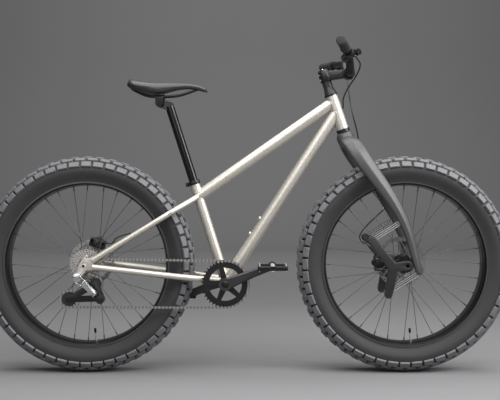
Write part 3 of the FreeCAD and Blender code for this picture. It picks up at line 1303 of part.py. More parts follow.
def build_derailleur(upper, lower, pivot):
    """Fixed knuckle, two links, moving knuckle and cage."""
    hang = (REAR.x + size("hanger_x"), REAR.z + size("hanger_z"))
    plate_out = size("rear_hub_width / 2 + dropout_thickness")
    start = V(hang[0], 0, hang[1])
    way = V(pivot - start).normalize()
    axis = V(-way.z, 0, way.x)
    spare = ((pivot - start).Length - size("link_length")) / 2
    first = start + way * spare
    second = first + way * size("link_length")
    middle = size("knuckle_inner + knuckle_outer") / 2
    tall = size("link_height") / 2
    thick = size("link_thickness")
    spacing = size("link_spacing") / 2
    ear = size("ear_thickness")

    def knuckle(centre, spot, radius, low, high):
        peg = disc((centre.x, centre.z), radius, low, high)
        place = upright(V(spot.x, middle, spot.z), axis, way)
        lumps = [peg]
        toward = (spot - centre).normalize()
        beyond = tall + GAP
        half_wide = spacing + size("link_radius")
        for base in (beyond, -beyond - ear):
            for side in (-1, 1):
                lug = Part.makeCylinder(size("link_radius"), ear, V(0, side * spacing, base))
                lug.Placement = place.multiply(lug.Placement)
                lumps.append(lug)
            strap = Part.makeBox((spot - centre).Length, 2 * half_wide, ear, V(0, -half_wide, base))
            strap.Placement = upright(V(centre.x, middle, centre.z), axis, toward).multiply(strap.Placement)
            lumps.append(strap)
        for side in (-1, 1):
            pin = Part.makeCylinder(size("link_pin_radius"), 2 * (beyond + ear),
                                    V(0, side * spacing, -beyond - ear))
            pin.Placement = place.multiply(pin.Placement)
            lumps.append(pin)
        return joined(lumps)

    fixed = knuckle(start, first, size("knuckle_radius"), plate_out, size("knuckle_outer"))
    keep(piece("fixed_knuckle", mirrored(fixed)), "derailleur_fixed_knuckle")
    moving = knuckle(pivot, second, size("moving_radius"), size("moving_inner"), size("moving_outer"))
    hole = disc((pivot.x, pivot.z), size("cage_pivot_radius + running_clearance"), 0,
                size("moving_outer") - ear)
    keep(piece("moving_knuckle", mirrored(moving.cut(hole))), "derailleur_moving_knuckle")
    for label, side in (("derailleur_outer_link", 1), ("derailleur_inner_link", -1)):
        place = upright(V(first.x, middle, first.z), axis, way)
        eyes = []
        long = size("link_length")
        radius = size("link_radius")
        for along in (0, long):
            eye = Part.makeCylinder(radius, 2 * tall, V(along, side * spacing, -tall))
            eyes.append(eye)
        web = Part.makeBox(long, thick, 2 * tall, V(0, side * spacing - thick / 2, -tall))
        link = joined(eyes + [web])
        bores = [Part.makeCylinder(size("link_pin_radius + running_clearance"), 2 * tall + 2 * OVER,
                                   V(along, side * spacing, -tall - OVER)) for along in (0, long)]
        link = link.cut(bores)
        link.Placement = place.multiply(link.Placement)
        keep(piece(label + "_bar", mirrored(link)), label)
    print("link hinges", first, second, "middle", middle, "axis", axis, "spacing", spacing)

    level = size("chainline")
    inside = size("cage_inside / 2")
    plate = size("cage_plate")
    eye = size("cage_end_radius")
    high = (upper.x, upper.z)
    base = (lower.x, lower.z)
    hub = (pivot.x, pivot.z)
    outer = joined([slab(hub, eye, high, eye, level + inside, level + inside + plate),
                    slab(hub, eye, base, eye, level + inside, level + inside + plate),
                    slab(high, eye, base, eye, level + inside, level + inside + plate)])
    inner = slab(high, eye, base, eye, level - inside - plate, level - inside)
    pegs = [disc(spot, size("cage_bolt_radius"), level - inside - plate, level + inside + plate)
            for spot in (high, base)]
    shaft = disc(hub, size("cage_pivot_radius"), level + inside, size("moving_outer") - ear - GAP)
    cage = joined([outer, inner, shaft] + pegs)
    keep(piece("cage_plates", mirrored(cage)), "derailleur_cage")


def build_seatpost():
    """Seatpost with its setback head, and the rail clamp round the head's cylinder."""
    radius = size("post_radius")
    low = on_seat(size("seat_tube_length - post_insert"))
    top = on_seat(size("post_top"))
    tube = bar(low, top, radius)
    head = V(size("head_cylinder_x"), 0, size("head_cylinder_z"))
    wide = size("head_width")
    roll = Part.makeCylinder(size("head_cylinder_radius"), wide, head - V(0, wide / 2, 0), V(0, 1, 0))
    neck = slab((top.x, top.z), radius, (head.x, head.z), size("head_cylinder_radius"), -wide / 4, wide / 4)
    hollow = bar(low - SEAT_WAY * OVER, top - SEAT_WAY * radius, radius - size("post_wall"))
    post = joined([tube, roll, neck]).cut(hollow)
    keep(piece("seatpost_body", post), "seatpost")

    rail = size("rail_height")
    radius = size("rail_radius")
    long = size("cradle_length") / 2
    half = size("cradle_width") / 2
    tall = size("cradle_height")
    roller = size("head_cylinder_radius")
    bolt = size("cradle_bolt_radius")
    origin = FreeCAD.Placement(V(head.x, 0, rail), FreeCAD.Rotation())
    lower = block(origin, V(-long, -half, -tall), V(long, half, -radius / 2))
    upper = block(origin, V(-long, -half, radius / 2), V(long, half, tall))
    lower = lower.makeFillet(radius / 2, lower.Edges)
    upper = upper.makeFillet(radius / 2, upper.Edges)
    cheek = disc((head.x, head.z), roller, wide / 2 + GAP, half)
    cheek = cheek.fuse(block(origin, V(-roller, wide / 2 + GAP, head.z - rail), V(roller, half, -tall / 2)))
    lower = joined([lower, cheek, mirrored(cheek)])
    grooves = []
    bolts = []
    holes = []
    for side in (-1, 1):
        start = V(head.x - 2 * long, side * size("rail_spread"), rail)
        grooves.append(Part.makeCylinder(radius + size("seat_gap"), 4 * long, start, V(1, 0, 0)))
        foot = V(head.x + side * (long - 2 * radius), 0, rail - tall)
        bolts.append(Part.makeCylinder(bolt, 2 * tall + bolt, foot))
        holes.append(Part.makeCylinder(bolt + size("seat_gap"), 4 * tall, foot - V(0, 0, tall)))
    seat = Part.makeCylinder(roller + GAP, wide + 2 * GAP, head - V(0, wide / 2 + GAP, 0), V(0, 1, 0))
    lower = lower.cut(grooves + holes + [seat])
    upper = joined([upper] + bolts).cut(grooves)
    keep(group("rail_clamp_set", [lower, upper]), "saddle_clamp")


SADDLE_SHARES = (
    # shares of the length, the half width, then of the height: top, shoulder and belly below the crown line
    (0, 0.5, -0.3, 0.1, 0.36), (0.06, 0.9, -0.26, 0.12, 0.62), (0.16, 1, -0.12, 0.2, 0.82),
    (0.28, 0.92, 0, 0.26, 0.94), (0.42, 0.62, 0.04, 0.26, 0.94), (0.56, 0.42, 0.03, 0.24, 0.72),
    (0.7, 0.33, 0.04, 0.24, 0.56), (0.84, 0.29, 0.12, 0.32, 0.6), (0.95, 0.25, 0.34, 0.52, 0.78),
    (1, 0.17, 0.56, 0.66, 0.84),
)
SADDLE_EDGE_SHARES = (0, 0.55, 0.86, 1)


def saddle_section(row):
    """One closed section of the saddle, drawn in at the belly."""
    x = size("saddle_tail_x") + row[0] * size("saddle_length")
    half = row[1] * size("saddle_half_width")
    tall = size("saddle_height")
    top = size("saddle_top") - row[2] * tall
    shoulder = size("saddle_top") - row[3] * tall
    belly = size("saddle_top") - row[4] * tall
    a, b, c, d = SADDLE_EDGE_SHARES
    crown = [V(x, b * half, top), V(x, c * half, (top + shoulder) / 2),
             V(x, half, shoulder - (shoulder - belly) / 3)]
    under = [V(x, c * half, belly), V(x, b * half, belly + size("shell_thickness / 2"))]
    left = crown + under
    points = [V(x, a, top)] + left + [V(x, a, belly + size("shell_thickness / 2"))]
    points += [V(x, -p.y, p.z) for p in reversed(left)]
    curve = Part.BSplineCurve()
    curve.interpolate(points, PeriodicFlag=True)
    return Part.Wire(curve.toShape())


def build_saddle():
    """The pad and the shell under it, lofted from tail to nose, and two bent rails."""
    whole = Part.makeLoft([saddle_section(row) for row in SADDLE_SHARES], True, False)
    raised = whole.copy()
    raised.translate(V(0, 0, size("shell_thickness")))
    pad = whole.common(raised)
    shell = whole.cut(raised)
    shell = max(shell.Solids, key=lambda s: s.Volume)
    pad = max(pad.Solids, key=lambda s: s.Volume)
    keep(piece("saddle_pad_form", pad), "saddle_pad")

    rail = size("rail_height")
    middle = size("head_cylinder_x")
    tail = size("saddle_tail_x") + RAIL_END_SHARES[0] * size("saddle_length")
    nose = size("saddle_tail_x") + RAIL_END_SHARES[1] * size("saddle_length")
    level = size("saddle_top") - size("saddle_height") * RAIL_LEVEL_SHARE
    route = [V(tail, size("rail_rear_spread"), level),
             V(middle - size("rail_back"), size("rail_spread"), rail),
             V(middle + size("rail_ahead"), size("rail_spread"), rail),
             V(nose, size("rail_nose_spread"), level)]
    bent = swept(route, size("rail_radius"))
    bent = bent.cut(pad)
    bent = max(bent.Solids, key=lambda s: s.Volume)
    shell = shell.cut([bent, mirrored(bent)])
    shell = max(shell.Solids, key=lambda s: s.Volume)
    keep(piece("saddle_shell_form", shell), "saddle_shell")
    keep(group("rail_pair", [mirrored(bent), bent]), "saddle_rails")


RAIL_END_SHARES = (0.05, 0.88)
RAIL_LEVEL_SHARE = 0.6


HOSE_HEAD_SHARES = (0.9, 0.5, 0.6)
HOSE_EXIT_SHARE = 0.33


def build_hoses(rear_place, front_place, stay, fork, down):
    """Brake hoses along their real routes, from the lever bodies to the calipers."""
    radius = size("hose_radius")
    stub = size("hose_stub")
    lever = lever_place(size("lever_place"))
    exit_local = V(size("pivot_out - lever_body_length"), size("lever_body_reach"), 0)
    exit_left = lever.multVec(exit_local - V(size("seat_gap"), 0, 0))
    way_left = lever.Rotation.multVec(V(-1, 0, 0))
    exit_right = V(exit_left.x, -exit_left.y, exit_left.z)
    way_right = V(way_left.x, -way_left.y, way_left.z)
    run = size("hose_run")
    high, middle, near = [on_head(share * size("head_tube_length")) for share in HOSE_HEAD_SHARES]
    join = on_head(size("down_tube_on_head"))
    down_way = V(join - CRANK).normalize()
    port = join - down_way * size("hose_port")
    ahead = BAR_CLAMP + V(size("hose_ahead"), -size("hose_aside"), size("hose_lift"))
    route = [exit_right, exit_right + way_right * run, ahead, high + HEAD_FRONT * size("hose_bow_high"),
             middle + HEAD_FRONT * size("hose_bow") + V(0, size("hose_bow_side"), 0),
             port + V(0, size("hose_port_side"), 0) + down_way * run,
             port + V(0, size("down_tube_diameter / 2 - tube_wall"), 0)]
    front_loop = swept(route, radius).cut(down)
    front_loop = max(front_loop.Solids, key=lambda s: s.Volume)
    side = size("caliper_half / 2")
    edge = size("caliper_length / 2 + seat_gap")
    start = rear_place.multVec(V(size("rear_rotor_radius"), edge, side))
    along = rear_place.Rotation.multVec(V(0, 1, 0))
    rise = V(0, 0, run)
    target = V(start.x + size("hose_tail"), size("stay_spread") - stub, start.z) + rise
    rear_loop = swept([start, start + along * (2 * stub), start + along * run + rise, target], radius)
    rear_loop = rear_loop.cut(stay)
    rear_loop = min(rear_loop.Solids, key=lambda s: s.CenterOfMass.distanceToPoint(start))
    keep(group("rear_hose_runs", [front_loop, rear_loop]), "rear_brake_hose")

    knee = leg_point(LEG_SHARES[1]) + HEAD_FRONT * size("hose_knee")
    route = [exit_left, exit_left + way_left * run,
             near + HEAD_FRONT * size("hose_fork_bow") + V(0, size("hose_fork_side"), 0),
             knee + HEAD_WAY * run, knee - HEAD_FRONT * stub]
    upper = swept(route, radius).cut(fork)
    upper = min(upper.Solids, key=lambda s: s.CenterOfMass.distanceToPoint(exit_left))
    inner = size("carrier_inner - 3 * hose_radius")
    above, below = leg_point(LEG_SHARES[3]), leg_point(LEG_SHARES[4])
    inset = V(size("leg_depth / 5"), size("leg_thickness / 4"), 0)
    leave = above + (below - above) * HOSE_EXIT_SHARE - inset
    end = front_place.multVec(V(size("front_rotor_radius"), edge, -side))
    away = front_place.Rotation.multVec(V(0, 1, 0))
    hollow = V(leave.x - size("hose_hollow"), inner, leave.z - size("hose_hollow_drop"))
    sag = V(hollow.x - radius, (inner + end.y) / 2, hollow.z - size("hose_sag"))
    lower = swept([leave, hollow, sag, end + away * size("hose_end_run"), end], radius).cut(fork)
    lower = min(lower.Solids, key=lambda s: s.CenterOfMass.distanceToPoint(end))
    keep(group("front_hose_runs", [upper, lower]), "front_brake_hose")


shell_cutter, seat_cutter, top_cutter, down_cutter = build_frame_tubes()
doc.recompute()
left_seatstay = build_stays(shell_cutter, seat_cutter, top_cutter)
build_collar()
build_cups()
build_rear_axle()
build_wheel("rear", REAR)
build_wheel("front", FRONT)
build_spokes("rear", REAR, size("rear_flange_right"), size("rear_flange_left"))
build_spokes("front", FRONT, -size("front_flange_offset"), size("front_flange_offset"))
build_hubs()
build_rotor("rear_rotor", REAR, "rear_rotor_offset", "rear_rotor_radius")
build_rotor("front_rotor", FRONT, "front_rotor_offset", "front_rotor_radius")
rear_caliper_place = build_rear_caliper()
build_headset_stack()
build_stem()
build_handlebar()
build_levers()
fork_shape = build_fork()
front_caliper_place = build_springs(fork_shape)
build_cranks()
chain_pins, gap_angles, upper_spot, lower_spot, cage_pivot = solve_chain()
build_chain(chain_pins)
build_sprockets(gap_angles, upper_spot, lower_spot)
build_derailleur(upper_spot, lower_spot, cage_pivot)
build_seatpost()
build_saddle()
build_hoses(rear_caliper_place, front_caliper_place, left_seatstay, fork_shape, down_cutter.Shape)
doc.recompute()

for item in doc.Objects:
    if "Invalid" in item.State or "Error" in item.State:
        raise RuntimeError("not computed: " + item.Label)
for item in KEPT:
    shape = item.Shape
    if shape.isNull() or not shape.isValid() or not shape.Solids:
        raise RuntimeError("not a valid solid: " + item.Label)
os.makedirs("parts", exist_ok=True)
for item in KEPT:
    item.Shape.exportStep("parts/" + item.Label + ".step")
print(len(KEPT), "sub-parts written")
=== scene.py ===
import json
import math

import bmesh
import bpy
from bpy.props import FloatProperty, FloatVectorProperty, IntProperty, PointerProperty
from mathutils import Matrix, Vector


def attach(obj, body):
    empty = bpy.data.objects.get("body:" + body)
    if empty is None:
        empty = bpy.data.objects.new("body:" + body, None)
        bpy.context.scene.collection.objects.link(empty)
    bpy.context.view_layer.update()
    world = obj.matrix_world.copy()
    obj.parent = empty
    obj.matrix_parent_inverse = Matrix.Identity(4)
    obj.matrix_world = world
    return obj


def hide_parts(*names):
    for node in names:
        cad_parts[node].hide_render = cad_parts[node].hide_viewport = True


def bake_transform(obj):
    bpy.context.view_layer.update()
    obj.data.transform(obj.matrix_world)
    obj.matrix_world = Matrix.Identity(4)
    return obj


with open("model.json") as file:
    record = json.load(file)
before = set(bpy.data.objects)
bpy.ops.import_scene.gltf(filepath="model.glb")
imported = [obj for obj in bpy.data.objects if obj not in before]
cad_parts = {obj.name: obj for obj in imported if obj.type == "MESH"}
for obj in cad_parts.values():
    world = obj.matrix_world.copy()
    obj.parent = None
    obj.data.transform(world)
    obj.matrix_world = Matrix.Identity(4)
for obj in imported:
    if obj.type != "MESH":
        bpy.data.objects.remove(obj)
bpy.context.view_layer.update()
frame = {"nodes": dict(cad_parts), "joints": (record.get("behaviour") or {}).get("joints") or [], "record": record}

bl_info = {
    "name": "Fat Tire Bike Looks",
    "version": (1, 0, 0),
    "blender": (4, 5, 0),
    "location": "View3D > Sidebar > Bike",
    "description": "Finishes, tyres, saddle, hoses and small fittings for a fat tire bike",
    "category": "Object",
}

NODES = frame["nodes"]
JOINTS = {joint["name"]: joint for joint in frame["joints"]}
REAR = Vector(JOINTS["rear_wheel_spin"]["pos_m"])
FRONT = Vector(JOINTS["front_wheel_spin"]["pos_m"])
CRANK = Vector(JOINTS["crank_spin"]["pos_m"])
HEAD = Vector(JOINTS["steering"]["pos_m"])
HEAD_WAY = Vector(JOINTS["steering"]["axis"]).normalized()
SEAT_WAY = Vector(JOINTS["post_slide"]["axis"]).normalized()
FULL_TURN = 2 * math.pi
SIDES = (-1, 1)


def mm(value):
    """Millimetres as metres."""
    return value / 1000


class BikeTread(bpy.types.PropertyGroup):
    """Sizes of the tyre casing and its knobs."""

    radius: FloatProperty(name="Outer radius", description="Radius over the centre knobs",
                          default=mm(380), unit="LENGTH")
    casing_radius: FloatProperty(name="Casing radius", description="Radius of the casing between the knobs",
                                 default=mm(370), unit="LENGTH")
    casing_width: FloatProperty(name="Casing width", description="Widest place of the sidewalls",
                                default=mm(116), unit="LENGTH")
    bead_radius: FloatProperty(name="Bead radius", description="Radius where the sidewall leaves the rim",
                               default=mm(288), unit="LENGTH")
    bead_width: FloatProperty(name="Bead width", description="Width of the tyre where it leaves the rim",
                              default=mm(86), unit="LENGTH")
    pitches: IntProperty(name="Knob pairs", description="How often the knob pattern repeats round the tyre",
                         default=26, min=12, max=60)
    facets: IntProperty(name="Facets", description="Steps round the casing", default=156, min=32, max=400)


class BikeColours(bpy.types.PropertyGroup):
    """Colours of the bike's finishes."""

    titanium: FloatVectorProperty(name="Titanium", description="Bare satin frame tubes", subtype="COLOR",
                                  default=(0.60, 0.565, 0.51))
    carbon: FloatVectorProperty(name="Carbon", description="Matte fork legs and axle carriers",
                                subtype="COLOR",
                                default=(0.036, 0.036, 0.038))
    rubber: FloatVectorProperty(name="Rubber", description="Tyres and grips", subtype="COLOR",
                                default=(0.021, 0.021, 0.022))
    black: FloatVectorProperty(name="Black", description="Anodised black fittings", subtype="COLOR",
                               default=(0.013, 0.013, 0.014))
    silver: FloatVectorProperty(name="Silver", description="Bright aluminium fittings", subtype="COLOR",
                                default=(0.66, 0.66, 0.67))
    steel: FloatVectorProperty(name="Steel", description="Chain, sprockets and rotors", subtype="COLOR",
                               default=(0.50, 0.485, 0.46))
    cover: FloatVectorProperty(name="Saddle cover", description="Smooth saddle cover", subtype="COLOR",
                               default=(0.03, 0.03, 0.031))


class BikeStage(bpy.types.PropertyGroup):
    """Floor, backdrop and camera."""

    floor: FloatVectorProperty(name="Floor", description="Colour of the floor and backdrop", subtype="COLOR",
                               default=(0.19, 0.19, 0.194))
    distance: FloatProperty(name="Camera distance",
                            description="How far the camera stands from the middle plane",
                            default=3.4, unit="LENGTH")
    height: FloatProperty(name="Camera height", description="Height of the camera", default=mm(680),
                          unit="LENGTH")
    place: FloatProperty(name="Camera place", description="How far forward the camera stands",
                         default=mm(14.5), unit="LENGTH")
    aim: FloatProperty(name="Aim height", description="Height that the camera points at", default=mm(604.7),
                       unit="LENGTH")
    lens: FloatProperty(name="Lens", description="Focal length on a full frame", default=69.3,
                        subtype="NONE")


class Wire:
    """A socket that takes part in sums."""

    def __init__(self, finish, socket):
        self.finish = finish
        self.socket = socket

    def sum(self, operation, first, second):
        return self.finish.node("ShaderNodeMath", {"operation": operation}, {0: first, 1: second})

    def __add__(self, other):
        return self.sum("ADD", self, other)

    __radd__ = __add__

    def __sub__(self, other):
        return self.sum("SUBTRACT", self, other)

    def __rsub__(self, other):
        return self.sum("SUBTRACT", other, self)

    def __mul__(self, other):
        return self.sum("MULTIPLY", self, other)

    __rmul__ = __mul__

    def __truediv__(self, other):
        return self.sum("DIVIDE", self, other)

    def __gt__(self, other):
        return self.sum("GREATER_THAN", self, other)


class Finish:
    """A material and its nodes."""

    def __init__(self, name, **values):
        self.material = bpy.data.materials.new(name)
        self.material.use_nodes = True
        self.tree = self.material.node_tree
        self.shader = self.tree.nodes["Principled BSDF"]
        for key, value in values.items():
            self.feed(self.shader.inputs[key.replace("_", " ")], value)

    def feed(self, socket, value):
        if isinstance(value, Wire):
            self.tree.links.new(value.socket, socket)
        elif hasattr(value, "__len__") and socket.type == "RGBA" and len(value) == 3:
            socket.default_value = (*value, 1)
        else:
            socket.default_value = value

    def node(self, kind, settings=None, inputs=None, output=0):
        made = self.tree.nodes.new(kind)
        for key, value in (settings or {}).items():
            if key == "stops":
                ramp = made.color_ramp
                while len(ramp.elements) < len(value):
                    ramp.elements.new(0.5)
                for stop, (place, colour) in zip(ramp.elements, value):
                    stop.position = place
                    stop.color = (*colour, 1) if len(colour) == 3 else colour
            else:
                setattr(made, key, value)
        for key, value in (inputs or {}).items():
            self.feed(made.inputs[key], value)
        return Wire(self, made.outputs[output])

    def place(self):
        return self.node("ShaderNodeTexCoord", output="Object")

    def noise(self, scale, detail=3.0, roughness=0.55, vector=None):
        inputs = {"Vector": vector or self.place(), "Scale": scale, "Detail": detail, "Roughness": roughness}
        return self.node("ShaderNodeTexNoise", inputs=inputs, output="Fac")

    def stretched(self, scale):
        return self.node("ShaderNodeMapping", inputs={"Vector": self.place(), "Scale": scale})

    def from_axle(self, axle):
        """Distance from a wheel's axle line."""
        apart = self.node("ShaderNodeVectorMath", {"operation": "SUBTRACT"},
                          {0: self.place(), 1: tuple(axle)})
        flat = self.node("ShaderNodeVectorMath", {"operation": "MULTIPLY"}, {0: apart, 1: (1, 0, 1)})
        return self.node("ShaderNodeVectorMath", {"operation": "LENGTH"}, {0: flat}, output="Value")

    def between(self, share, low, high):
        """A colour between two, by a share from 0 to 1."""
        inputs = {"Factor": share, "A": low, "B": high}
        return self.node("ShaderNodeMix", {"data_type": "RGBA"}, inputs, output="Result")

    def base(self, value):
        self.feed(self.shader.inputs["Base Color"], value)

    def rough(self, value):
        self.feed(self.shader.inputs["Roughness"], value)

    def bump(self, height, strength, distance):
        made = self.node("ShaderNodeBump",
                         inputs={"Height": height, "Strength": strength, "Distance": distance})
        self.feed(self.shader.inputs["Normal"], made)


def shade(colour, share):
    """A colour made darker or lighter by a share."""
    return tuple(min(1.0, channel * share) for channel in colour)


FINISHES = {}


def make_finishes(colours):
    """Every material of the bike, under the name of its finish."""
    ti = Finish("satin titanium", Metallic=0.8)
    grain = ti.noise(900, 2.0)
    cloud = ti.noise(7, 3.0)
    ti.base(ti.between(cloud, shade(colours.titanium, 0.93), shade(colours.titanium, 1.06)))
    ti.rough(0.40 + cloud * 0.06 + grain * 0.08)
    ti.bump(grain, 0.12, mm(0.2))

    weld = Finish("weld bead", Metallic=1.0)
    tint = weld.noise(60, 2.0)
    weld.base(weld.between(tint, shade(colours.titanium, 0.7), shade(colours.titanium, 0.98)))
    weld.rough(0.34 + tint * 0.12)

    carbon = Finish("matte carbon", Specular_IOR_Level=0.8)
    mottle = carbon.noise(220, 4.0)
    broad = carbon.noise(9, 2.0)
    carbon.base(carbon.between(broad, shade(colours.carbon, 0.85), shade(colours.carbon, 1.2)))
    carbon.rough(0.42 + mottle * 0.16)
    carbon.bump(mottle, 0.10, mm(0.3))

    for end, axle in (("front", FRONT), ("rear", REAR)):
        rubber = Finish(end + " tyre rubber")
        dust = rubber.noise(11, 5.0)
        wall = rubber.between(dust, shade(colours.rubber, 0.75), shade(colours.rubber, 1.5))
        # Past 347 mm from the axle the casing is painted four times darker: painted shade in the gaps between the
        # tread knobs.
        base = rubber.from_axle(axle) > mm(347)
        rubber.base(rubber.between(base, wall, shade(colours.rubber, 0.25)))
        rubber.rough(0.50 + dust * 0.22)
        rubber.bump(rubber.noise(700, 2.0), 0.18, mm(0.4))

    # The tread is painted several times lighter than the sidewall rubber: painted highlight from the overhead
    # light, varied by a mottling noise.
    tread = Finish("tread rubber")
    wear_and_highlight = tread.noise(40, 4.0)
    tread.base(tread.between(wear_and_highlight, shade(colours.rubber, 4.5), shade(colours.rubber, 7.5)))
    tread.rough(0.46 + wear_and_highlight * 0.2)
    tread.bump(tread.noise(700, 2.0), 0.18, mm(0.4))

    spoke = Finish("spoke grey", Metallic=0.8)
    spoke.base(spoke.between(spoke.noise(20), shade(colours.black, 7), shade(colours.black, 12)))
    spoke.rough(0.30 + spoke.noise(80) * 0.1)

    grip = Finish("grip rubber")
    fine = grip.noise(900, 2.0)
    grip.base(grip.between(grip.noise(30), shade(colours.rubber, 0.6), shade(colours.rubber, 1.15)))
    grip.rough(0.55 + fine * 0.2)
    grip.bump(fine, 0.2, mm(0.4))

    for name, share, low, spread in (("satin black", 1.0, 0.30, 0.14), ("gloss black", 0.7, 0.16, 0.10),
                                     ("dark grey", 2.6, 0.30, 0.14)):
        made = Finish(name, Metallic=0.35)
        stain = made.noise(18, 4.0)
        skin = made.noise(1200, 2.0)
        made.base(made.between(stain, shade(colours.black, 0.8 * share), shade(colours.black, 1.3 * share)))
        made.rough(low + stain * spread)
        made.bump(skin, 0.06, mm(0.2))

    silver = Finish("silver aluminium", Metallic=1.0)
    brush = silver.noise(60, 3.0, vector=silver.stretched((1, 9, 1)))
    silver.base(silver.between(brush, shade(colours.silver, 0.92), shade(colours.silver, 1.05)))
    silver.rough(0.20 + brush * 0.08)

    rotor = Finish("ground steel", Metallic=1.0)
    marks = rotor.noise(420, 3.0)
    rotor.base(rotor.between(marks, shade(colours.steel, 0.85), shade(colours.steel, 1.25)))
    rotor.rough(0.22 + marks * 0.16)

    cover = Finish("saddle cover")
    pores = cover.node("ShaderNodeTexVoronoi", {"feature": "DISTANCE_TO_EDGE"},
                       {"Vector": cover.place(), "Scale": 900}, output="Distance")
    sheen = cover.noise(24, 3.0)
    cover.base(cover.between(sheen, shade(colours.cover, 0.85), shade(colours.cover, 1.2)))
    cover.rough(0.36 + sheen * 0.12)
    cover.bump(pores, 0.12, mm(0.3))

    plastic = Finish("moulded plastic")
    grain = plastic.noise(800, 2.0)
    plastic.base(plastic.between(grain, shade(colours.black, 0.9), shade(colours.black, 1.4)))
    plastic.rough(0.40 + grain * 0.15)
    plastic.bump(grain, 0.10, mm(0.2))

    hose = Finish("brake hose")
    lay = hose.noise(400, 2.0)
    hose.base(hose.between(lay, shade(colours.black, 0.7), shade(colours.black, 1.2)))
    hose.rough(0.28 + lay * 0.12)

    for end, axle in (("front", FRONT), ("rear", REAR)):
        made = Finish(end + " valve", Metallic=0.9)
        stem = made.from_axle(axle) > mm(247)
        made.base(made.between(stem, colours.black, (0.62, 0.55, 0.42)))
        made.rough(0.35 + made.noise(200) * 0.1)
        made = Finish(end + " rim black", Metallic=0.4)
        # Past 284.6 mm from the axle the rim is painted five times lighter: a painted highlight along the rim's
        # edge.
        edge = made.from_axle(axle) > mm(284.6)
        made.base(made.between(edge, shade(colours.black, 0.8), shade(colours.black, 5)))
        made.rough(0.24 + made.noise(30) * 0.1)

    for name in ("pedal_right", "pedal_left"):
        made = Finish(name + " black", Metallic=0.5)
        apart = made.node("ShaderNodeVectorMath", {"operation": "SUBTRACT"},
                          {0: made.place(), 1: JOINTS[name + "_spin"]["pos_m"]})
        level = made.node("ShaderNodeSeparateXYZ", inputs={0: apart}, output="Z")
        pins = made.node("ShaderNodeMath", {"operation": "ABSOLUTE"}, {0: level}) > mm(7.7)
        made.base(made.between(pins, shade(colours.black, 1.2), colours.silver))
        made.rough(0.32 + made.noise(90) * 0.1)

    chain = Finish("chain steel", Metallic=1.0)
    links = chain.node("ShaderNodeTexWave", {"bands_direction": "X"},
                       {"Vector": chain.place(), "Scale": 24.74, "Distortion": 0.0}, output="Fac")
    chain.base(chain.between(links, shade(colours.steel, 0.4), shade(colours.steel, 0.9)))
    chain.rough(0.36 + chain.noise(300) * 0.15)

    for name, tone in (("spring leaf", 0.012), ("cut leaf edge", 0.36)):
        leaf = Finish(name, Metallic=0.3)
        fibre = leaf.noise(120, 3.0, vector=leaf.stretched((1, 1, 8)))
        leaf.base(leaf.between(fibre, (tone * 0.8,) * 3, (tone * 1.2,) * 3))
        leaf.rough(0.28 + fibre * 0.15)

    cogs = Finish("cassette steel", Metallic=0.9)
    reach = cogs.from_axle(REAR) * (1 / mm(5.6))
    step = cogs.node("ShaderNodeMath", {"operation": "FRACT"}, {0: reach})
    ring = cogs.node("ShaderNodeMath", {"operation": "FLOOR"}, {0: reach})
    apart = cogs.node("ShaderNodeVectorMath", {"operation": "SUBTRACT"}, {0: cogs.place(), 1: tuple(REAR)})
    across = cogs.node("ShaderNodeSeparateXYZ", inputs={0: apart}, output="X")
    level = cogs.node("ShaderNodeSeparateXYZ", inputs={0: apart}, output="Z")
    turn = cogs.node("ShaderNodeMath", {"operation": "ARCTAN2"}, {0: across, 1: level})
    teeth = cogs.node("ShaderNodeMath", {"operation": "SINE"}, {0: turn * 30 + ring * 1.7})
    # Where the radial step meets the teeth the steel is painted almost black: painted shade in the gaps between
    # the sprockets. The rest is 1.35 times the steel colour.
    painted_gap_shade = (step > 0.55) * (teeth > 0.1)
    cogs.base(cogs.between(painted_gap_shade, shade(colours.steel, 1.35), shade(colours.steel, 0.12)))
    cogs.rough(0.26 + cogs.noise(150) * 0.12)

    dark = Finish("dark carbon")
    weave = dark.noise(260, 4.0)
    dark.base(dark.between(dark.noise(12), shade(colours.carbon, 0.3), shade(colours.carbon, 0.55)))
    dark.rough(0.32 + weave * 0.16)
    dark.bump(weave, 0.08, mm(0.3))

    for made in bpy.data.materials:
        FINISHES[made.name] = made


NODE_FINISHES = {
    "satin titanium": ("head_tube", "top_tube", "down_tube", "seat_tube", "bottom_bracket_shell",
                       "chainstays",
                       "seatstays", "rear_dropouts"),
    "dark carbon": ("fork_carriers",),
    "satin black": ("seat_collar", "bearing_cups", "stem", "stem_faceplate", "handlebar",
                    "brake_lever_bodies",
                    "rear_brake_caliper", "front_brake_caliper", "rear_hub", "front_hub", "shift_pod",
                    "derailleur_cage", "derailleur_moving_knuckle", "saddle_clamp", "front_axle",
                    "rear_axle", "saddle_rails", "chainring", "brake_lever_right", "brake_lever_left"),
    "spoke grey": ("front_spokes", "rear_spokes"),
    "front rim black": ("front_rim",),
    "rear rim black": ("rear_rim",),
    "pedal_right black": ("pedal_right",),
    "pedal_left black": ("pedal_left",),
    "chain steel": ("chain",),
    "gloss black": ("seatpost",),
    "dark grey": ("headset_spacers", "crank_arms"),
    "moulded plastic": ("saddle_shell", "pulley_upper", "pulley_lower", "shift_paddle"),
    "silver aluminium": ("derailleur_outer_link", "derailleur_inner_link", "derailleur_fixed_knuckle",
                         "pedal_axles"),
    "cassette steel": ("cassette",),
    "ground steel": ("front_rotor", "rear_rotor"),
    "front valve": ("front_valve",),
    "rear valve": ("rear_valve",),
}


def paint(piece, finish):
    """Give a piece one finish all over."""
    piece.data.materials.clear()
    piece.data.materials.append(FINISHES[finish])


def deselect():
    """Leave edit mode with nothing selected."""
    active = bpy.context.view_layer.objects.active
    if active is not None and active.mode != "OBJECT":
        bpy.ops.object.mode_set(mode="OBJECT")
    bpy.ops.object.select_all(action="DESELECT")


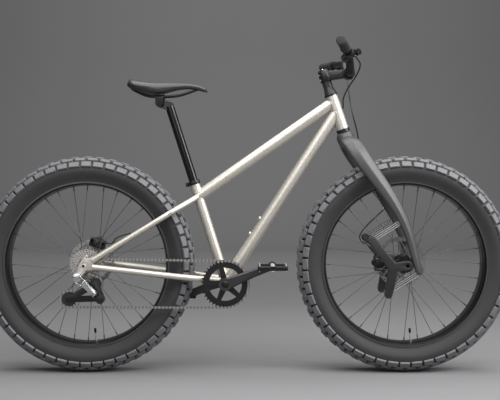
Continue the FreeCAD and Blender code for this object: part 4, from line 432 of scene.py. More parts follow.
def choose(*pieces):
    """Select only these pieces, the first of them active."""
    deselect()
    for piece in pieces:
        piece.select_set(True)
    bpy.context.view_layer.objects.active = pieces[0]


def named(name):
    """The object that was just added, under its own name."""
    piece = bpy.context.view_layer.objects.active
    piece.name = name
    piece.data.name = name
    return piece


def settle(piece, matrix=None):
    """Put a piece's place into its mesh."""
    if matrix is not None:
        piece.matrix_world = matrix
    choose(piece)
    bpy.ops.object.transform_apply(location=True, rotation=True, scale=True)
    return piece


def modify(piece, kind, **settings):
    """Add a modifier and apply it."""
    choose(piece)
    made = piece.modifiers.new(kind.title(), kind)
    for key, value in settings.items():
        setattr(made, key, value)
    bpy.ops.object.modifier_apply(modifier=made.name)
    return piece


def merged(name, pieces):
    """Several pieces as one mesh."""
    choose(*pieces)
    if len(pieces) > 1:
        bpy.ops.object.join()
    return named(name)


def copied(name, mesh):
    """A new piece with a copy of a mesh."""
    deselect()
    bpy.ops.mesh.primitive_cube_add()
    piece = named(name)
    piece.data = mesh.copy()
    piece.data.name = name
    return piece


def smooth(piece, degrees=35):
    """Smooth shading with sharp edges above an angle."""
    choose(piece)
    bpy.ops.object.shade_smooth_by_angle(angle=math.radians(degrees))
    return piece


def tidy_mesh(piece):
    """Merge doubles and turn every face outward."""
    choose(piece)
    bpy.ops.object.mode_set(mode="EDIT")
    bpy.ops.mesh.select_all(action="SELECT")
    bpy.ops.mesh.remove_doubles(threshold=mm(0.01))
    bpy.ops.mesh.normals_make_consistent(inside=False)
    bpy.ops.object.mode_set(mode="OBJECT")
    return piece


def spun(name, outline, centre, axis, across, steps):
    """A closed outline of (radius, place along the axis) turned about the axis."""
    deselect()
    bpy.ops.mesh.primitive_circle_add(vertices=len(outline), radius=1)
    piece = named(name)
    for vertex, (radius, along) in zip(piece.data.vertices, outline):
        vertex.co = centre + across * radius + axis * along
    bpy.ops.object.mode_set(mode="EDIT")
    bpy.ops.mesh.select_all(action="SELECT")
    bpy.ops.mesh.spin(steps=steps, angle=FULL_TURN, center=centre, axis=axis)
    bpy.ops.object.mode_set(mode="OBJECT")
    return tidy_mesh(piece)


def lofted(name, loops, closed=True):
    """A skin drawn through loops of points by extruding the first loop along the rest."""
    deselect()
    bpy.ops.mesh.primitive_circle_add(vertices=len(loops[0]), radius=1)
    piece = named(name)
    for vertex, spot in zip(piece.data.vertices, loops[0]):
        vertex.co = spot
    bpy.ops.object.mode_set(mode="EDIT")
    bpy.ops.mesh.select_all(action="SELECT")
    if closed:
        bpy.ops.mesh.edge_face_add()
    for before, after in zip(loops, loops[1:]):
        bpy.ops.mesh.extrude_region_move()
        mesh = bmesh.from_edit_mesh(piece.data)
        for vertex in [v for v in mesh.verts if v.select]:
            nearest = min(range(len(before)), key=lambda i: (vertex.co - Vector(before[i])).length)
            vertex.co = after[nearest]
        bmesh.update_edit_mesh(piece.data)
    bpy.ops.object.mode_set(mode="OBJECT")
    return tidy_mesh(piece)


def tube(name, points, radius, ring=False):
    """A round hose along a smooth line with these control points."""
    deselect()
    bpy.ops.curve.primitive_nurbs_path_add()
    piece = named(name)
    piece.data.splines.clear()
    spline = piece.data.splines.new("NURBS")
    spline.points.add(len(points) - 1)
    for spot, point in zip(spline.points, points):
        spot.co = (*point, 1)
    spline.order_u = 3
    spline.use_endpoint_u = not ring
    spline.use_cyclic_u = ring
    piece.data.dimensions = "3D"
    piece.data.resolution_u = 2 if ring else 14
    piece.data.bevel_depth = radius
    piece.data.bevel_resolution = 4
    piece.data.use_fill_caps = not ring
    settle(piece)
    bpy.ops.object.convert(target="MESH")
    return smooth(tidy_mesh(piece), 60)


def ringed(piece, centre, axis, count):
    """Copies of a piece turned evenly about an axis, in one mesh."""
    deselect()
    bpy.ops.object.empty_add()
    pivot = bpy.context.view_layer.objects.active
    turn = Matrix.Rotation(FULL_TURN / count, 4, axis)
    pivot.matrix_world = Matrix.Translation(centre) @ turn @ Matrix.Translation(-centre)
    bpy.context.view_layer.update()
    modify(piece, "ARRAY", fit_type="FIXED_COUNT", count=count, use_relative_offset=False,
           use_object_offset=True, offset_object=pivot)
    bpy.data.objects.remove(pivot)
    return piece


def block(name, size, taper=1.0, bevel=0.0, segments=1):
    """A box with a smaller top and softened edges, standing on the ground at the origin."""
    deselect()
    bpy.ops.mesh.primitive_cube_add(size=1, location=(0, 0, 0.5))
    piece = named(name)
    settle(piece)
    piece.scale = size
    settle(piece)
    bpy.ops.object.mode_set(mode="EDIT")
    bpy.ops.mesh.select_all(action="DESELECT")
    mesh = bmesh.from_edit_mesh(piece.data)
    for face in mesh.faces:
        face.select = face.normal.z > 0.5
    bmesh.update_edit_mesh(piece.data)
    bpy.ops.transform.resize(value=(taper, taper, 1))
    if bevel:
        bpy.ops.mesh.select_all(action="SELECT")
        bpy.ops.mesh.bevel(offset=bevel, segments=segments, affect="EDGES")
    bpy.ops.object.mode_set(mode="OBJECT")
    return piece


class BIKE_OT_finishes(bpy.types.Operator):
    """Make the finishes and give them to the pieces that keep their shape"""

    bl_idname = "bike.finishes"
    bl_label = "Finishes"

    def execute(self, context):
        make_finishes(context.scene.bike_colours)
        for finish, names in NODE_FINISHES.items():
            for name in names:
                paint(NODES[name], finish)
        return {"FINISHED"}


KNOB_ROWS = (
    # turn as a share of the pattern, radius of the foot, place across, lean outward in degrees,
    # length round the tyre, width across, height, share of the top
    (0.00, 370.2, 11.0, 6, 31, 17, 9.6, 0.88),
    (0.50, 370.2, 12.5, 7, 27, 19, 9.4, 0.88),
    (0.25, 363.6, 33.5, 30, 36, 18, 9.4, 0.9),
    (0.75, 363.9, 33.0, 29, 38, 17, 9.4, 0.9),
    (0.02, 349.5, 50.5, 57, 38, 21, 8.4, 0.9),
    (0.52, 350.0, 50.6, 56, 36, 22, 8.6, 0.9),
)
KNOB_EDGE = mm(1.1)


class BIKE_OT_tyres(bpy.types.Operator):
    """Turn both casings and set the tread knobs round them"""

    bl_idname = "bike.tyres"
    bl_label = "Tyres"

    def casing(self, name, axle, tread):
        half = tread.casing_width / 2
        bead = tread.bead_width / 2
        tall = tread.casing_radius - tread.bead_radius
        rows = ((0, 1), (0.13, 1.07), (0.16, 1.10), (0.20, 1.13), (0.36, 1.30), (0.52, 1.345), (0.68, 1.27),
                (0.80, 1.13), (0.90, 0.88), (0.965, 0.58), (0.992, 0.28), (1, 0))
        wide = [(tread.bead_radius + up * tall, min(out * bead, half)) for up, out in rows]
        inner = [(tread.bead_radius, bead - mm(4)), (tread.bead_radius + mm(20), bead - mm(2)),
                 (tread.casing_radius - mm(12), 0)]
        side = wide + [(r, -y) for r, y in reversed(wide[:-1])]
        back = [(r, -y) for r, y in inner[:-1]] + [inner[-1]] + list(reversed(inner[:-1]))
        return spun(name, side + back, axle, Vector((0, 1, 0)), Vector((0, 0, 1)), tread.facets)

    def knob(self, name, row, side, axle, tread):
        turn, foot, across, lean, length, width, height, top = row
        piece = block(name, (mm(length), mm(width), mm(height)), top, KNOB_EDGE)
        lay = Matrix.Rotation(-side * math.radians(lean), 4, "X")
        stand = Matrix.Translation((0, side * mm(across), mm(foot) - mm(2)))
        share = turn if side > 0 else (turn + 0.5) % 1
        spin = Matrix.Rotation(FULL_TURN * share / tread.pitches, 4, "Y")
        settle(piece, Matrix.Translation(axle) @ spin @ stand @ lay)
        return ringed(piece, axle, Vector((0, 1, 0)), tread.pitches)

    def execute(self, context):
        tread = context.scene.bike_tread
        for end, axle in (("front", FRONT), ("rear", REAR)):
            casing = self.casing(end + "_casing", axle, tread)
            paint(casing, end + " tyre rubber")
            pieces = [casing]
            for index, row in enumerate(KNOB_ROWS):
                for side in SIDES:
                    pieces.append(self.knob("%s_knob_%d" % (end, index), row, side, axle, tread))
                    paint(pieces[-1], "tread rubber")
            tyre = merged(end + "_tyre_tread", pieces)
            smooth(tyre, 32)
            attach(tyre, end + "_wheel")
            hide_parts(end + "_tyre")
        return {"FINISHED"}


SADDLE_SHARES = (
    # shares of the length and the half width, then of the height below the crown line: top, shoulder, belly
    (0, 0.5, -0.3, 0.1, 0.36), (0.06, 0.9, -0.26, 0.12, 0.62), (0.16, 1, -0.12, 0.2, 0.82),
    (0.28, 0.92, 0, 0.26, 0.94), (0.42, 0.62, 0.04, 0.26, 0.94), (0.56, 0.42, 0.03, 0.24, 0.72),
    (0.7, 0.33, 0.04, 0.24, 0.56), (0.84, 0.29, 0.12, 0.32, 0.6), (0.95, 0.25, 0.34, 0.52, 0.78),
    (1, 0.17, 0.56, 0.66, 0.84),
)
SADDLE_TAIL = mm(-414)
SADDLE_LENGTH = mm(278)
SADDLE_HALF = mm(71)
SADDLE_TOP = mm(1018)
SADDLE_TALL = mm(40)
SHELL = mm(4)


class BIKE_OT_saddle(bpy.types.Operator):
    """Draw the padded saddle cover through its cross sections"""

    bl_idname = "bike.saddle"
    bl_label = "Saddle"

    def section(self, row):
        along, wide, top, shoulder, belly = row
        x = SADDLE_TAIL + along * SADDLE_LENGTH
        half = wide * SADDLE_HALF
        crown = SADDLE_TOP - top * SADDLE_TALL
        edge = SADDLE_TOP - shoulder * SADDLE_TALL
        under = SADDLE_TOP - belly * SADDLE_TALL + SHELL
        bulge = edge - (edge - under) / 3
        side = [(0.3, crown), (0.58, crown - (crown - edge) * 0.12), (0.84, (crown + edge) / 2),
                (0.985, bulge),
                (0.99, bulge - (bulge - under) * 0.45), (0.90, under), (0.55, under + mm(1))]
        right = [(x, -half * out, z) for out, z in side]
        left = [(x, half * out, z) for out, z in reversed(side)]
        return [(x, 0, crown)] + right + [(x, 0, under + mm(1))] + left

    def execute(self, context):
        loops = [self.section(row) for row in SADDLE_SHARES]
        cover = lofted("saddle_cover", loops)
        modify(cover, "SUBSURF", levels=2, render_levels=2)
        smooth(cover, 50)
        paint(cover, "saddle cover")
        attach(cover, "saddle")
        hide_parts("saddle_pad")
        return {"FINISHED"}


HOSE_RADIUS = mm(2.5)
HOSES = {
    # control points of each hose in millimetres
    "rear_hose_head_run": ((361.7, -190.2, 1093.0), (369.1, -155.1, 1090.8), (399.5, -110.0, 1061.9),
                           (339.0, 0.0, 970.9), (349.3, 31.0, 922.4), (292.9, 34.4, 873.1),
                           (273.2, 19.9, 843.0)),
    "rear_hose_stay_run": ((-505.6, 81.5, 447.4), (-482.7, 81.5, 440.0), (-471.3, 81.5, 472.3),
                           (-409.6, 93.0, 483.4)),
    "front_hose_crown_run": ((361.7, 190.2, 1093.0), (369.1, 155.1, 1090.8), (370.9, 35.0, 942.8),
                             (408.7, 73.0, 821.6), (409.0, 73.0, 783.6)),
    "front_hose_carrier_run": ((508.1, 79.9, 576.8), (411.1, 67.5, 494.8), (408.6, 60.5, 450.8),
                               (463.7, 53.5, 441.3), (465.7, 53.5, 403.4)),
}


class BIKE_OT_hoses(bpy.types.Operator):
    """Lay the brake hoses from the levers to the calipers"""

    bl_idname = "bike.hoses"
    bl_label = "Brake hoses"

    def execute(self, context):
        made = {}
        for name, points in HOSES.items():
            made[name] = tube(name, [Vector(point) / 1000 for point in points], HOSE_RADIUS)
            paint(made[name], "brake hose")
        for name in ("rear_hose_head_run", "rear_hose_stay_run"):
            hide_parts("rear_brake_hose")
        for name in ("front_hose_crown_run", "front_hose_carrier_run"):
            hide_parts("front_brake_hose")
        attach(made["rear_hose_stay_run"], "frame")
        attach(made["front_hose_crown_run"], "steering")
        points = [Vector(point) / 1000 for point in HOSES["rear_hose_head_run"]]
        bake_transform(made["rear_hose_head_run"])
        points = [Vector(point) / 1000 for point in HOSES["front_hose_carrier_run"]]
        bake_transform(made["front_hose_carrier_run"])
        return {"FINISHED"}


LEAF_WAY = Vector((-0.848048, 0, -0.529919))
LEAF_UP = Vector((-0.529919, 0, 0.848048))
LEAF_ROOTS = {"upper": (545, 538), "lower": (599, 357.5)}
LEAF_WIDE, LEAF_THICK, LEAF_LONG, LEAF_PITCH = mm(18), mm(3.2), mm(138), mm(6.4)
LEAF_SPREAD = mm(87)
LEAF_STEPS = 14


class BIKE_OT_springs(bpy.types.Operator):
    """Make the leaf spring stacks between the fork legs and the axle carriers"""

    bl_idname = "bike.springs"
    bl_label = "Leaf springs"

    def leaf(self, name, root, level):
        loops = []
        for step in range(LEAF_STEPS + 1):
            along = LEAF_LONG * step / LEAF_STEPS
            middle = root + LEAF_WAY * along + LEAF_UP * level
            loop = []
            for across, up in ((-1, -1), (1, -1), (1, 1), (-1, 1)):
                aside = Vector((0, across * LEAF_WIDE / 2, 0))
                loop.append(middle + aside + LEAF_UP * (up * LEAF_THICK / 2))
            loops.append(loop)
        return modify(lofted(name, loops), "BEVEL", width=mm(0.5), segments=2, limit_method="ANGLE")

    def execute(self, context):
        for stack, (x, z) in LEAF_ROOTS.items():
            pieces = []
            for side in SIDES:
                root = Vector((mm(x), side * LEAF_SPREAD, mm(z)))
                for row in (-1, 0, 1):
                    pieces.append(self.leaf("%s_leaf" % stack, root, row * LEAF_PITCH))
            springs = smooth(merged("leaf_springs_" + stack, pieces))
            paint(springs, "spring leaf")
            springs.data.materials.append(FINISHES["cut leaf edge"])
            for face in springs.data.polygons:
                face.material_index = int(abs(face.normal.y) > 0.5)
            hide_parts("leaf_springs")
            root = Vector((mm(x), 0, mm(z)))
            root + LEAF_WAY * mm(14)
            root + LEAF_WAY * (LEAF_LONG - mm(12))
            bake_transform(springs)
        return {"FINISHED"}


LEG_SHARES = (
    # shares of the reach, the spread, the drop, the depth and the thickness, from the crown to the tip
    (0, 0.46, 0, 0.98, 1.2), (0.04, 0.72, 0.03, 1.04, 1.12), (0.11, 0.9, 0.085, 1.04, 1.04),
    (0.2, 0.96, 0.16, 0.98, 1), (0.33, 0.98, 0.25, 0.89, 0.98), (0.46, 0.985, 0.34, 0.8, 0.96),
    (0.597, 0.99, 0.44, 0.72, 0.96), (0.71, 1, 0.54, 0.64, 0.94), (0.803, 1, 0.64, 0.57, 0.92),
    (0.865, 1, 0.73, 0.53, 0.9), (0.908, 1, 0.82, 0.5, 0.9), (0.96, 1, 0.92, 0.44, 0.9),
    (1, 1, 1, 0.36, 0.9),
)
LEG_CORNERS = ((1, 0.55), (0.84, 0.82), (0.14, 1.02), (-0.02, 1.08), (-0.72, 1), (-1, 0.7), (-1, -0.7),
               (-0.72, -1), (0, -1.08), (0.1, -1.02), (0.84, -0.2), (1, 0.2))
CROWN = Vector((mm(358.6), 0, mm(815.6)))
LEG_FOOT = Vector((mm(602), mm(88), mm(343.6)))
LEG_DEPTH, LEG_THICK = mm(62), mm(30)
HEAD_FRONT = Vector((HEAD_WAY.z, 0, -HEAD_WAY.x))
CROWN_RINGS = (
    # distance below the head tube, half depth, half width in millimetres
    (12.7, 24.5, 24.5), (16, 27, 28), (24, 31, 35), (34, 32, 39), (46, 31, 38), (58, 26, 30), (64, 18, 20),
)


class BIKE_OT_fork(bpy.types.Operator):
    """Draw the moulded fork through its cross sections"""

    bl_idname = "bike.fork"
    bl_label = "Fork"

    def ring(self, row, before, after, side):
        """One closed section across the leg."""
        def spot(entry):
            reach = LEG_FOOT - CROWN
            return CROWN + Vector((entry[0] * reach.x, side * entry[1] * LEG_FOOT.y, entry[2] * reach.z))

        way = (spot(after) - spot(before)).normalized()
        if row is LEG_SHARES[0]:
            way = Vector((0, side, 0))
        ahead = (HEAD_FRONT - way * HEAD_FRONT.dot(way)).normalized()
        out = way.cross(ahead) * side
        deep = row[3] * LEG_DEPTH / 2
        wide = row[4] * LEG_THICK / 2
        return [spot(row) + ahead * (a * deep) + out * (b * wide) for a, b in LEG_CORNERS]

    def execute(self, context):
        left = []
        right = []
        for index, row in enumerate(LEG_SHARES):
            before = LEG_SHARES[max(index - 1, 0)]
            after = LEG_SHARES[min(index + 1, len(LEG_SHARES) - 1)]
            left.append(self.ring(row, before, after, 1))
            right.append([Vector((p.x, -p.y, p.z)) for p in left[-1]])
        legs = lofted("fork_legs", list(reversed(left)) + right)
        rings = []
        for below, deep, wide in CROWN_RINGS:
            middle = HEAD - HEAD_WAY * mm(below)
            loop = []
            for step in range(16):
                angle = FULL_TURN * step / 16
                loop.append(middle + HEAD_FRONT * (mm(deep) * math.cos(angle))
                            + Vector((0, mm(wide) * math.sin(angle), 0)))
            rings.append(loop)
        crown = lofted("fork_crown", rings)
        for part in (legs, crown):
            modify(part, "SUBSURF", levels=2, render_levels=2)
        fork = smooth(merged("fork_moulding", [legs, crown]), 60)
        paint(fork, "matte carbon")
        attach(fork, "steering")
        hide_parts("fork")
        return {"FINISHED"}


BAR_TIP = Vector((mm(299.5), mm(375), mm(1114.9)))
BAR_WAY = Vector((-0.205246, 0.976819, 0.060814))
GRIP_LONG, GRIP_RADIUS, GRIP_INSIDE, COLLAR_RADIUS = mm(132), mm(15.8), mm(11.2), mm(18)
RIBS = 24


class BIKE_OT_grips(bpy.types.Operator):
    """Turn the ribbed grips with their clamp collars and end caps"""

    bl_idname = "bike.grips"
    bl_label = "Grips"

    def execute(self, context):
        collar = mm(9)
        outline = [(GRIP_INSIDE, 0), (COLLAR_RADIUS - mm(0.8), 0), (COLLAR_RADIUS, mm(0.8)),
                   (COLLAR_RADIUS, collar - mm(0.8)), (COLLAR_RADIUS - mm(0.8), collar)]
        ribbed = GRIP_LONG - collar - mm(8)
        for rib in range(RIBS):
            start = collar + mm(1) + ribbed * rib / RIBS
            outline += [(GRIP_RADIUS - mm(1.1), start), (GRIP_RADIUS, start + mm(0.9)),
                        (GRIP_RADIUS, start + ribbed / RIBS - mm(1.1))]
        end = [(GRIP_RADIUS - mm(1), GRIP_LONG - mm(6)), (GRIP_RADIUS + mm(0.6), GRIP_LONG - mm(5)),
               (GRIP_RADIUS + mm(0.6), GRIP_LONG - mm(1.5)), (GRIP_RADIUS - mm(1), GRIP_LONG),
               (GRIP_RADIUS - mm(5), GRIP_LONG + mm(0.6)), (mm(0.2), GRIP_LONG + mm(0.8)),
               (mm(0.2), GRIP_LONG - mm(2)), (GRIP_INSIDE, GRIP_LONG - mm(2))]
        pieces = []
        for side in SIDES:
            way = Vector((BAR_WAY.x, side * BAR_WAY.y, BAR_WAY.z))
            tip = Vector((BAR_TIP.x, side * BAR_TIP.y, BAR_TIP.z))
            across = way.cross(Vector((1, 0, 0))).normalized()
            pieces.append(spun("grip", outline + end, tip - way * GRIP_LONG, way, across, 40))
        grips = smooth(merged("grip_sleeves", pieces), 40)
        paint(grips, "grip rubber")
        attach(grips, "steering")
        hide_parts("grips")
        return {"FINISHED"}


def on_head(distance):
    """A point on the steering axis, measured up from the foot of the head tube."""
    return HEAD + HEAD_WAY * distance


SHELL_WAY = Vector((0, 1, 0))
TOP_REAR = Vector((mm(-167.7), 0, mm(617.9)))
JOINS = (
    # branch: a point on it, the far point and radius; trunk: a point on it, its direction and radius
    (TOP_REAR, on_head(mm(100)), mm(20), HEAD, HEAD_WAY, mm(22)),
    (CRANK, on_head(mm(64)), mm(21.5), HEAD, HEAD_WAY, mm(22)),
    (on_head(mm(100)), TOP_REAR, mm(20), CRANK, SEAT_WAY, mm(18)),
    (on_head(mm(64)), CRANK, mm(21.5), CRANK, SHELL_WAY, mm(23)),
    (TOP_REAR, CRANK, mm(18), CRANK, SHELL_WAY, mm(23)),
)
BEAD = mm(1.7)
BEAD_POINTS = 44


class BIKE_OT_welds(bpy.types.Operator):
    """Lay weld beads where the frame tubes meet"""

    bl_idname = "bike.welds"
    bl_label = "Weld beads"

    def line(self, near, far, radius, trunk, way, trunk_radius):
        """Where a tube from near to far meets the skin of another tube."""
        along = (far - near).normalized()
        side = along.cross(Vector((0, 1, 0))).normalized()
        over = along.cross(side)
        spots = []
        for step in range(BEAD_POINTS):
            angle = FULL_TURN * step / BEAD_POINTS
            start = near + side * (radius * math.cos(angle)) + over * (radius * math.sin(angle)) - trunk
            flat_start = start - way * start.dot(way)
            flat_way = along - way * along.dot(way)
            a = flat_way.dot(flat_way)
            b = 2 * flat_start.dot(flat_way)
            c = flat_start.dot(flat_start) - trunk_radius ** 2
            root = b * b - 4 * a * c
            reach = (-b - math.sqrt(max(root, 0))) / (2 * a)
            spots.append(trunk + start + along * reach)
        return spots

    def execute(self, context):
        beads = []
        for index, row in enumerate(JOINS):
            beads.append(tube("weld_%d" % index, self.line(*row), BEAD, True))
        welds = merged("frame_welds", beads)
        paint(welds, "weld bead")
        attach(welds, "frame")
        return {"FINISHED"}


STAY_BOSS = Vector((mm(-257), mm(82.3), mm(563.7)))
BOSS = ((2.4, 7), (5, 7), (5, 11.2), (4.3, 11.8), (2.4, 11.8), (2.4, 9))


class BIKE_OT_bosses(bpy.types.Operator):
    """Turn the small threaded bosses on the seatstays"""

    bl_idname = "bike.bosses"
    bl_label = "Stay bosses"

    def execute(self, context):
        pieces = []
        for side in SIDES:
            outline = [(mm(r), mm(along)) for r, along in BOSS]
            foot = Vector((STAY_BOSS.x, side * STAY_BOSS.y, STAY_BOSS.z))
            pieces.append(spun("boss", outline, foot, Vector((0, side, 0)), Vector((1, 0, 0)), 28))
        bosses = smooth(merged("stay_bosses", pieces))
        paint(bosses, "satin titanium")
        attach(bosses, "frame")
        return {"FINISHED"}


SOFT_EDGES = {
    # width of the rounded edge in millimetres
    "fork_carriers": 2.5, "rear_brake_caliper": 1.2, "front_brake_caliper": 1.2, "stem": 2.0,
    "stem_faceplate": 1.0, "brake_lever_bodies": 1.0, "shift_pod": 1.0, "seat_collar": 0.8,
    "saddle_clamp": 0.9, "rear_dropouts": 1.2, "derailleur_fixed_knuckle": 1.0, "derailleur_outer_link": 0.9,
    "derailleur_inner_link": 0.9, "derailleur_moving_knuckle": 1.0, "derailleur_cage": 0.6,
    "brake_lever_right": 1.2, "brake_lever_left": 1.2, "shift_paddle": 0.8,
}


class BIKE_OT_edges(bpy.types.Operator):
    """Round the edges of the forged and machined pieces"""

    bl_idname = "bike.edges"
    bl_label = "Rounded edges"

    def execute(self, context):
        record = frame["record"]
        body_of = {node: body for body, nodes in record["behaviour"]["bodies"].items() for node in nodes}
        for node, width in SOFT_EDGES.items():
            piece = tidy_mesh(copied(node + "_rounded", NODES[node].data))
            bpy.ops.object.mode_set(mode="EDIT")
            bpy.ops.mesh.select_all(action="SELECT")
            bpy.ops.mesh.dissolve_limited(angle_limit=math.radians(1.5))
            bpy.ops.object.mode_set(mode="OBJECT")
            modify(piece, "BEVEL", width=mm(width), segments=2, limit_method="ANGLE",
                   angle_limit=math.radians(40), use_clamp_overlap=False)
            smooth(piece, 40)
            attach(piece, body_of[node])
            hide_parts(node)
        return {"FINISHED"}


CHAIN_RUNS = {
    # box of the run in millimetres: low and high x, low and high z; then its bodies and the ends of its bend
    "chain_ring_run": ((-440, 90, 0, 760), ("frame",), None),
    "chain_cog_run": ((-800, -440, 358, 760), ("frame",), None),
    "chain_feed_upper": ((-800, -535, 330, 358), ("frame", "outer_link"), ((-556, 357), (-537, 350))),
    "chain_feed_middle": ((-535, -515, 330, 358), ("outer_link", "moving_knuckle"),
                          ((-534, 349), (-516, 341))),
    "chain_feed_lower": ((-515, -440, 330, 358), ("moving_knuckle", "cage"), ((-515, 341), (-503, 336))),
    "chain_pulley_run": ((-800, -440, 252, 330), ("cage",), None),
    "chain_lower_rear": ((-800, -530, 0, 252), ("cage", "moving_knuckle"), ((-602, 238), (-532, 238))),
    "chain_lower_middle": ((-530, -510, 0, 252), ("moving_knuckle", "outer_link"),
                           ((-529, 238), (-511, 238))),
    "chain_lower_front": ((-510, -440, 0, 252), ("outer_link", "frame"), ((-509, 238), (-470, 238))),
}


class BIKE_OT_chain(bpy.types.Operator):
    """Part the chain into runs and hang each run without a bend on its body, the pulley run on the cage"""

    bl_idname = "bike.chain"
    bl_label = "Chain runs"

    def run(self, name, box, mesh):
        """The part of the chain inside a box, closed where it is cut."""
        piece = copied(name, mesh)
        choose(piece)
        bpy.ops.object.mode_set(mode="EDIT")
        for index, level in enumerate(box):
            place = Vector((mm(level), 0, 0)) if index < 2 else Vector((0, 0, mm(level)))
            way = Vector((1, 0, 0)) if index < 2 else Vector((0, 0, 1))
            bpy.ops.mesh.select_all(action="SELECT")
            bpy.ops.mesh.bisect(plane_co=place, plane_no=way, use_fill=True, clear_inner=index % 2 == 0,
                                clear_outer=index % 2 == 1)
        bpy.ops.object.mode_set(mode="OBJECT")
        return piece

    def execute(self, context):
        level = sum(corner[1] for corner in NODES["chain"].bound_box) / 8
        whole = tidy_mesh(copied("chain_whole", NODES["chain"].data))
        bpy.ops.object.shade_flat()
        for name, (box, bodies, bend) in CHAIN_RUNS.items():
            piece = self.run(name, box, whole.data)
            if bend:
                start, end = (Vector((mm(x), level, mm(z))) for x, z in bend)
                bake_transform(piece)
            else:
                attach(piece, *bodies)
            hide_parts("chain")
        choose(whole)
        bpy.ops.object.delete()
        return {"FINISHED"}


STEM_WAY = Vector((0.98995, 0, 0.14142))
STEM_DOWN = Vector((0.14142, 0, -0.98995))
BAR_CLAMP = Vector((mm(361.5), 0, mm(1050.9)))
BOLT = ((0.2, 0), (4, 0), (4, 3.4), (3.4, 4.2), (1.9, 4.2), (1.9, 2.4), (0.2, 2.4))
PIN = ((0.2, -13), (3.4, -13), (3.4, 13), (0.2, 13))
DROPOUT_FACE = mm(107.5)
RING_MIDDLE = Vector((mm(-71), mm(-80), mm(315)))
WEB_STEPS = 96
WEB = ((57, -1), (57.6, -1.5), (74.4, -1.5), (74.8, -1), (74.8, 1), (74.4, 1.5), (57.6, 1.5), (57, 1))
WASHER = ((4.7, -0.4), (8.4, -0.4), (8.4, 0.8), (7.6, 1.4), (4.7, 1.4))


class BIKE_OT_bolts(bpy.types.Operator):
    """Turn the bolt heads and washers"""

    bl_idname = "bike.bolts"
    bl_label = "Bolts and washers"

    def turned(self, name, outline, place, way):
        side = way.orthogonal().normalized()
        return spun(name, [(mm(r), mm(along)) for r, along in outline], place, way, side, 24)

    def finish(self, name, pieces, finish, body, slot):
        group = smooth(merged(name, pieces))
        paint(group, finish)
        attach(group, body)

    def execute(self, context):
        heads = []
        for up in SIDES:
            for side in SIDES:
                place = BAR_CLAMP + STEM_WAY * mm(11.5) + STEM_DOWN * (up * mm(18.7))
                place += SHELL_WAY * (side * mm(16))
                heads.append(self.turned("stem_bolt", BOLT, place, STEM_WAY))
            clamp = on_head(mm(195) + up * mm(9)) - HEAD_FRONT * mm(20)
            heads.append(self.turned("clamp_bolt", PIN, clamp, SHELL_WAY))
        heads.append(self.turned("cap_bolt", BOLT, on_head(mm(218.6)), HEAD_WAY))
        for name in ("brake_right", "brake_left"):
            hinge = Vector(JOINTS[name]["pos_m"])
            way = Vector(JOINTS[name]["axis"]).normalized()
            for side in SIDES:
                heads.append(self.turned("lever_bolt", BOLT, hinge + way * (side * mm(6.5)), way * side))
        self.finish("steering_bolts", heads, "silver aluminium", "steering", "silver")
        washers = []
        for side in SIDES:
            outer = REAR + SHELL_WAY * (side * DROPOUT_FACE)
            washers.append(self.turned("washer", WASHER, outer, SHELL_WAY * side))
        self.finish("rear_axle_washers", washers, "satin titanium", "frame", "titanium")
        outline = [(mm(r), mm(along)) for r, along in WEB]
        web = spun("chainring_web", outline, RING_MIDDLE, SHELL_WAY, Vector((1, 0, 0)), WEB_STEPS)
        self.finish("chainring_web", [web], "satin black", "crankset", "black_metal")
        return {"FINISHED"}


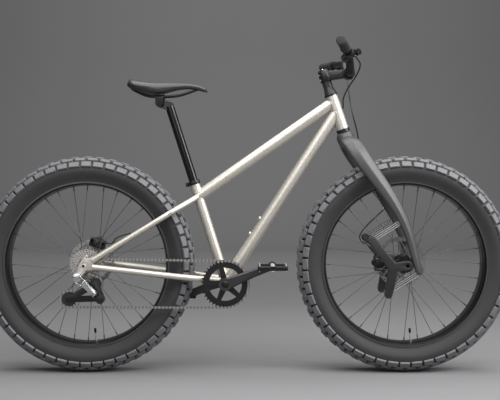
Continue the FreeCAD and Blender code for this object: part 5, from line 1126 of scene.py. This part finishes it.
class BIKE_OT_stage(bpy.types.Operator):
    """Set the floor, the soft lights and the camera"""

    bl_idname = "bike.stage"
    bl_label = "Stage"

    def sweep(self, colour):
        """Floor and backdrop in one sheet with a round corner."""
        deselect()
        bpy.ops.mesh.primitive_plane_add(size=22, location=(0, -3, 0))
        piece = settle(named("studio_floor"))
        bpy.ops.object.mode_set(mode="EDIT")
        bpy.ops.mesh.select_all(action="DESELECT")
        bpy.ops.mesh.select_mode(type="EDGE")
        mesh = bmesh.from_edit_mesh(piece.data)
        for edge in mesh.edges:
            edge.select = all(vertex.co.y > 4 for vertex in edge.verts)
        bmesh.update_edit_mesh(piece.data)
        bpy.ops.mesh.extrude_region_move(TRANSFORM_OT_translate={"value": (0, 0, 9)})
        mesh = bmesh.from_edit_mesh(piece.data)
        for edge in mesh.edges:
            edge.select = all(vertex.co.y > 4 and vertex.co.z < 0.1 for vertex in edge.verts)
        bmesh.update_edit_mesh(piece.data)
        bpy.ops.mesh.bevel(offset=2.2, segments=24, affect="EDGES")
        bpy.ops.mesh.select_mode(type="VERT")
        bpy.ops.object.mode_set(mode="OBJECT")
        smooth(piece, 60)
        paper = Finish("studio paper", Roughness=0.9)
        tone = paper.noise(0.6, 2.0)
        paper.base(paper.between(tone, shade(colour, 0.97), shade(colour, 1.03)))
        piece.data.materials.append(paper.material)

    def lamp(self, name, place, aim, wide, tall, power):
        deselect()
        bpy.ops.object.light_add(type="AREA", location=place)
        lamp = named(name)
        lamp.data.shape = "RECTANGLE"
        lamp.data.size = wide
        lamp.data.size_y = tall
        lamp.data.energy = power
        lamp.rotation_euler = (Vector(aim) - Vector(place)).to_track_quat("-Z", "Y").to_euler()

    def execute(self, context):
        scene = context.scene
        stage = scene.bike_stage
        self.sweep(stage.floor)
        self.lamp("overhead_softbox", (0, 0.1, 2.9), (0, 0, 0.4), 3.6, 1.5, 82)
        self.lamp("front_softbox", (0.1, -1.9, 2.7), (0, 0, 0.6), 3.6, 1.8, 95)
        self.lamp("side_softbox", (2.9, -1.3, 2.1), (0.4, 0, 0.6), 1.6, 2.0, 110)
        self.lamp("front_fill", (-1.6, -4.6, 1.6), (0, 0, 0.5), 2.6, 1.6, 30)
        self.lamp("wall_light", (0, 3.2, 3.6), (0, 7.2, 2.0), 6.0, 0.8, 150)
        world = bpy.data.worlds.new("studio air")
        world.use_nodes = True
        world.node_tree.nodes["Background"].inputs["Color"].default_value = (0.5, 0.5, 0.51, 1)
        world.node_tree.nodes["Background"].inputs["Strength"].default_value = 0.25
        scene.world = world
        scene.view_settings.view_transform = "Standard"
        place = Vector((stage.place, -stage.distance, stage.height))
        bpy.ops.object.camera_add(location=place)
        camera = named("photo_camera")
        camera.data.lens = stage.lens
        camera.data.sensor_width = 36
        aim = Vector((stage.place, 0, stage.aim))
        camera.rotation_euler = (aim - place).to_track_quat("-Z", "Y").to_euler()
        scene.camera = camera
        return {"FINISHED"}


class BIKE_PT_panel(bpy.types.Panel):
    """The bike's pieces, in the order in which they are made"""

    bl_idname = "BIKE_PT_panel"
    bl_label = "Fat Tire Bike"
    bl_space_type = "VIEW_3D"
    bl_region_type = "UI"
    bl_category = "Bike"

    def draw(self, context):
        for operator in OPERATORS:
            self.layout.operator(operator.bl_idname)


GROUPS = {"bike_tread": BikeTread, "bike_colours": BikeColours, "bike_stage": BikeStage}
OPERATORS = (BIKE_OT_stage, BIKE_OT_finishes, BIKE_OT_tyres, BIKE_OT_saddle, BIKE_OT_hoses, BIKE_OT_springs,
             BIKE_OT_fork, BIKE_OT_grips, BIKE_OT_welds, BIKE_OT_bosses,
             BIKE_OT_edges, BIKE_OT_chain, BIKE_OT_bolts)


def register():
    for group in GROUPS.values():
        bpy.utils.register_class(group)
    for name, group in GROUPS.items():
        setattr(bpy.types.Scene, name, PointerProperty(type=group))
    for operator in OPERATORS:
        bpy.utils.register_class(operator)
    bpy.utils.register_class(BIKE_PT_panel)


def unregister():
    bpy.utils.unregister_class(BIKE_PT_panel)
    for operator in reversed(OPERATORS):
        bpy.utils.unregister_class(operator)
    for name in GROUPS:
        delattr(bpy.types.Scene, name)
    for group in reversed(list(GROUPS.values())):
        bpy.utils.unregister_class(group)


def main():
    register()
    for operator in OPERATORS:
        group, name = operator.bl_idname.split(".")
        getattr(getattr(bpy.ops, group), name)()
    deselect()
    bpy.context.view_layer.update()


if __name__ == "__main__":
    main()
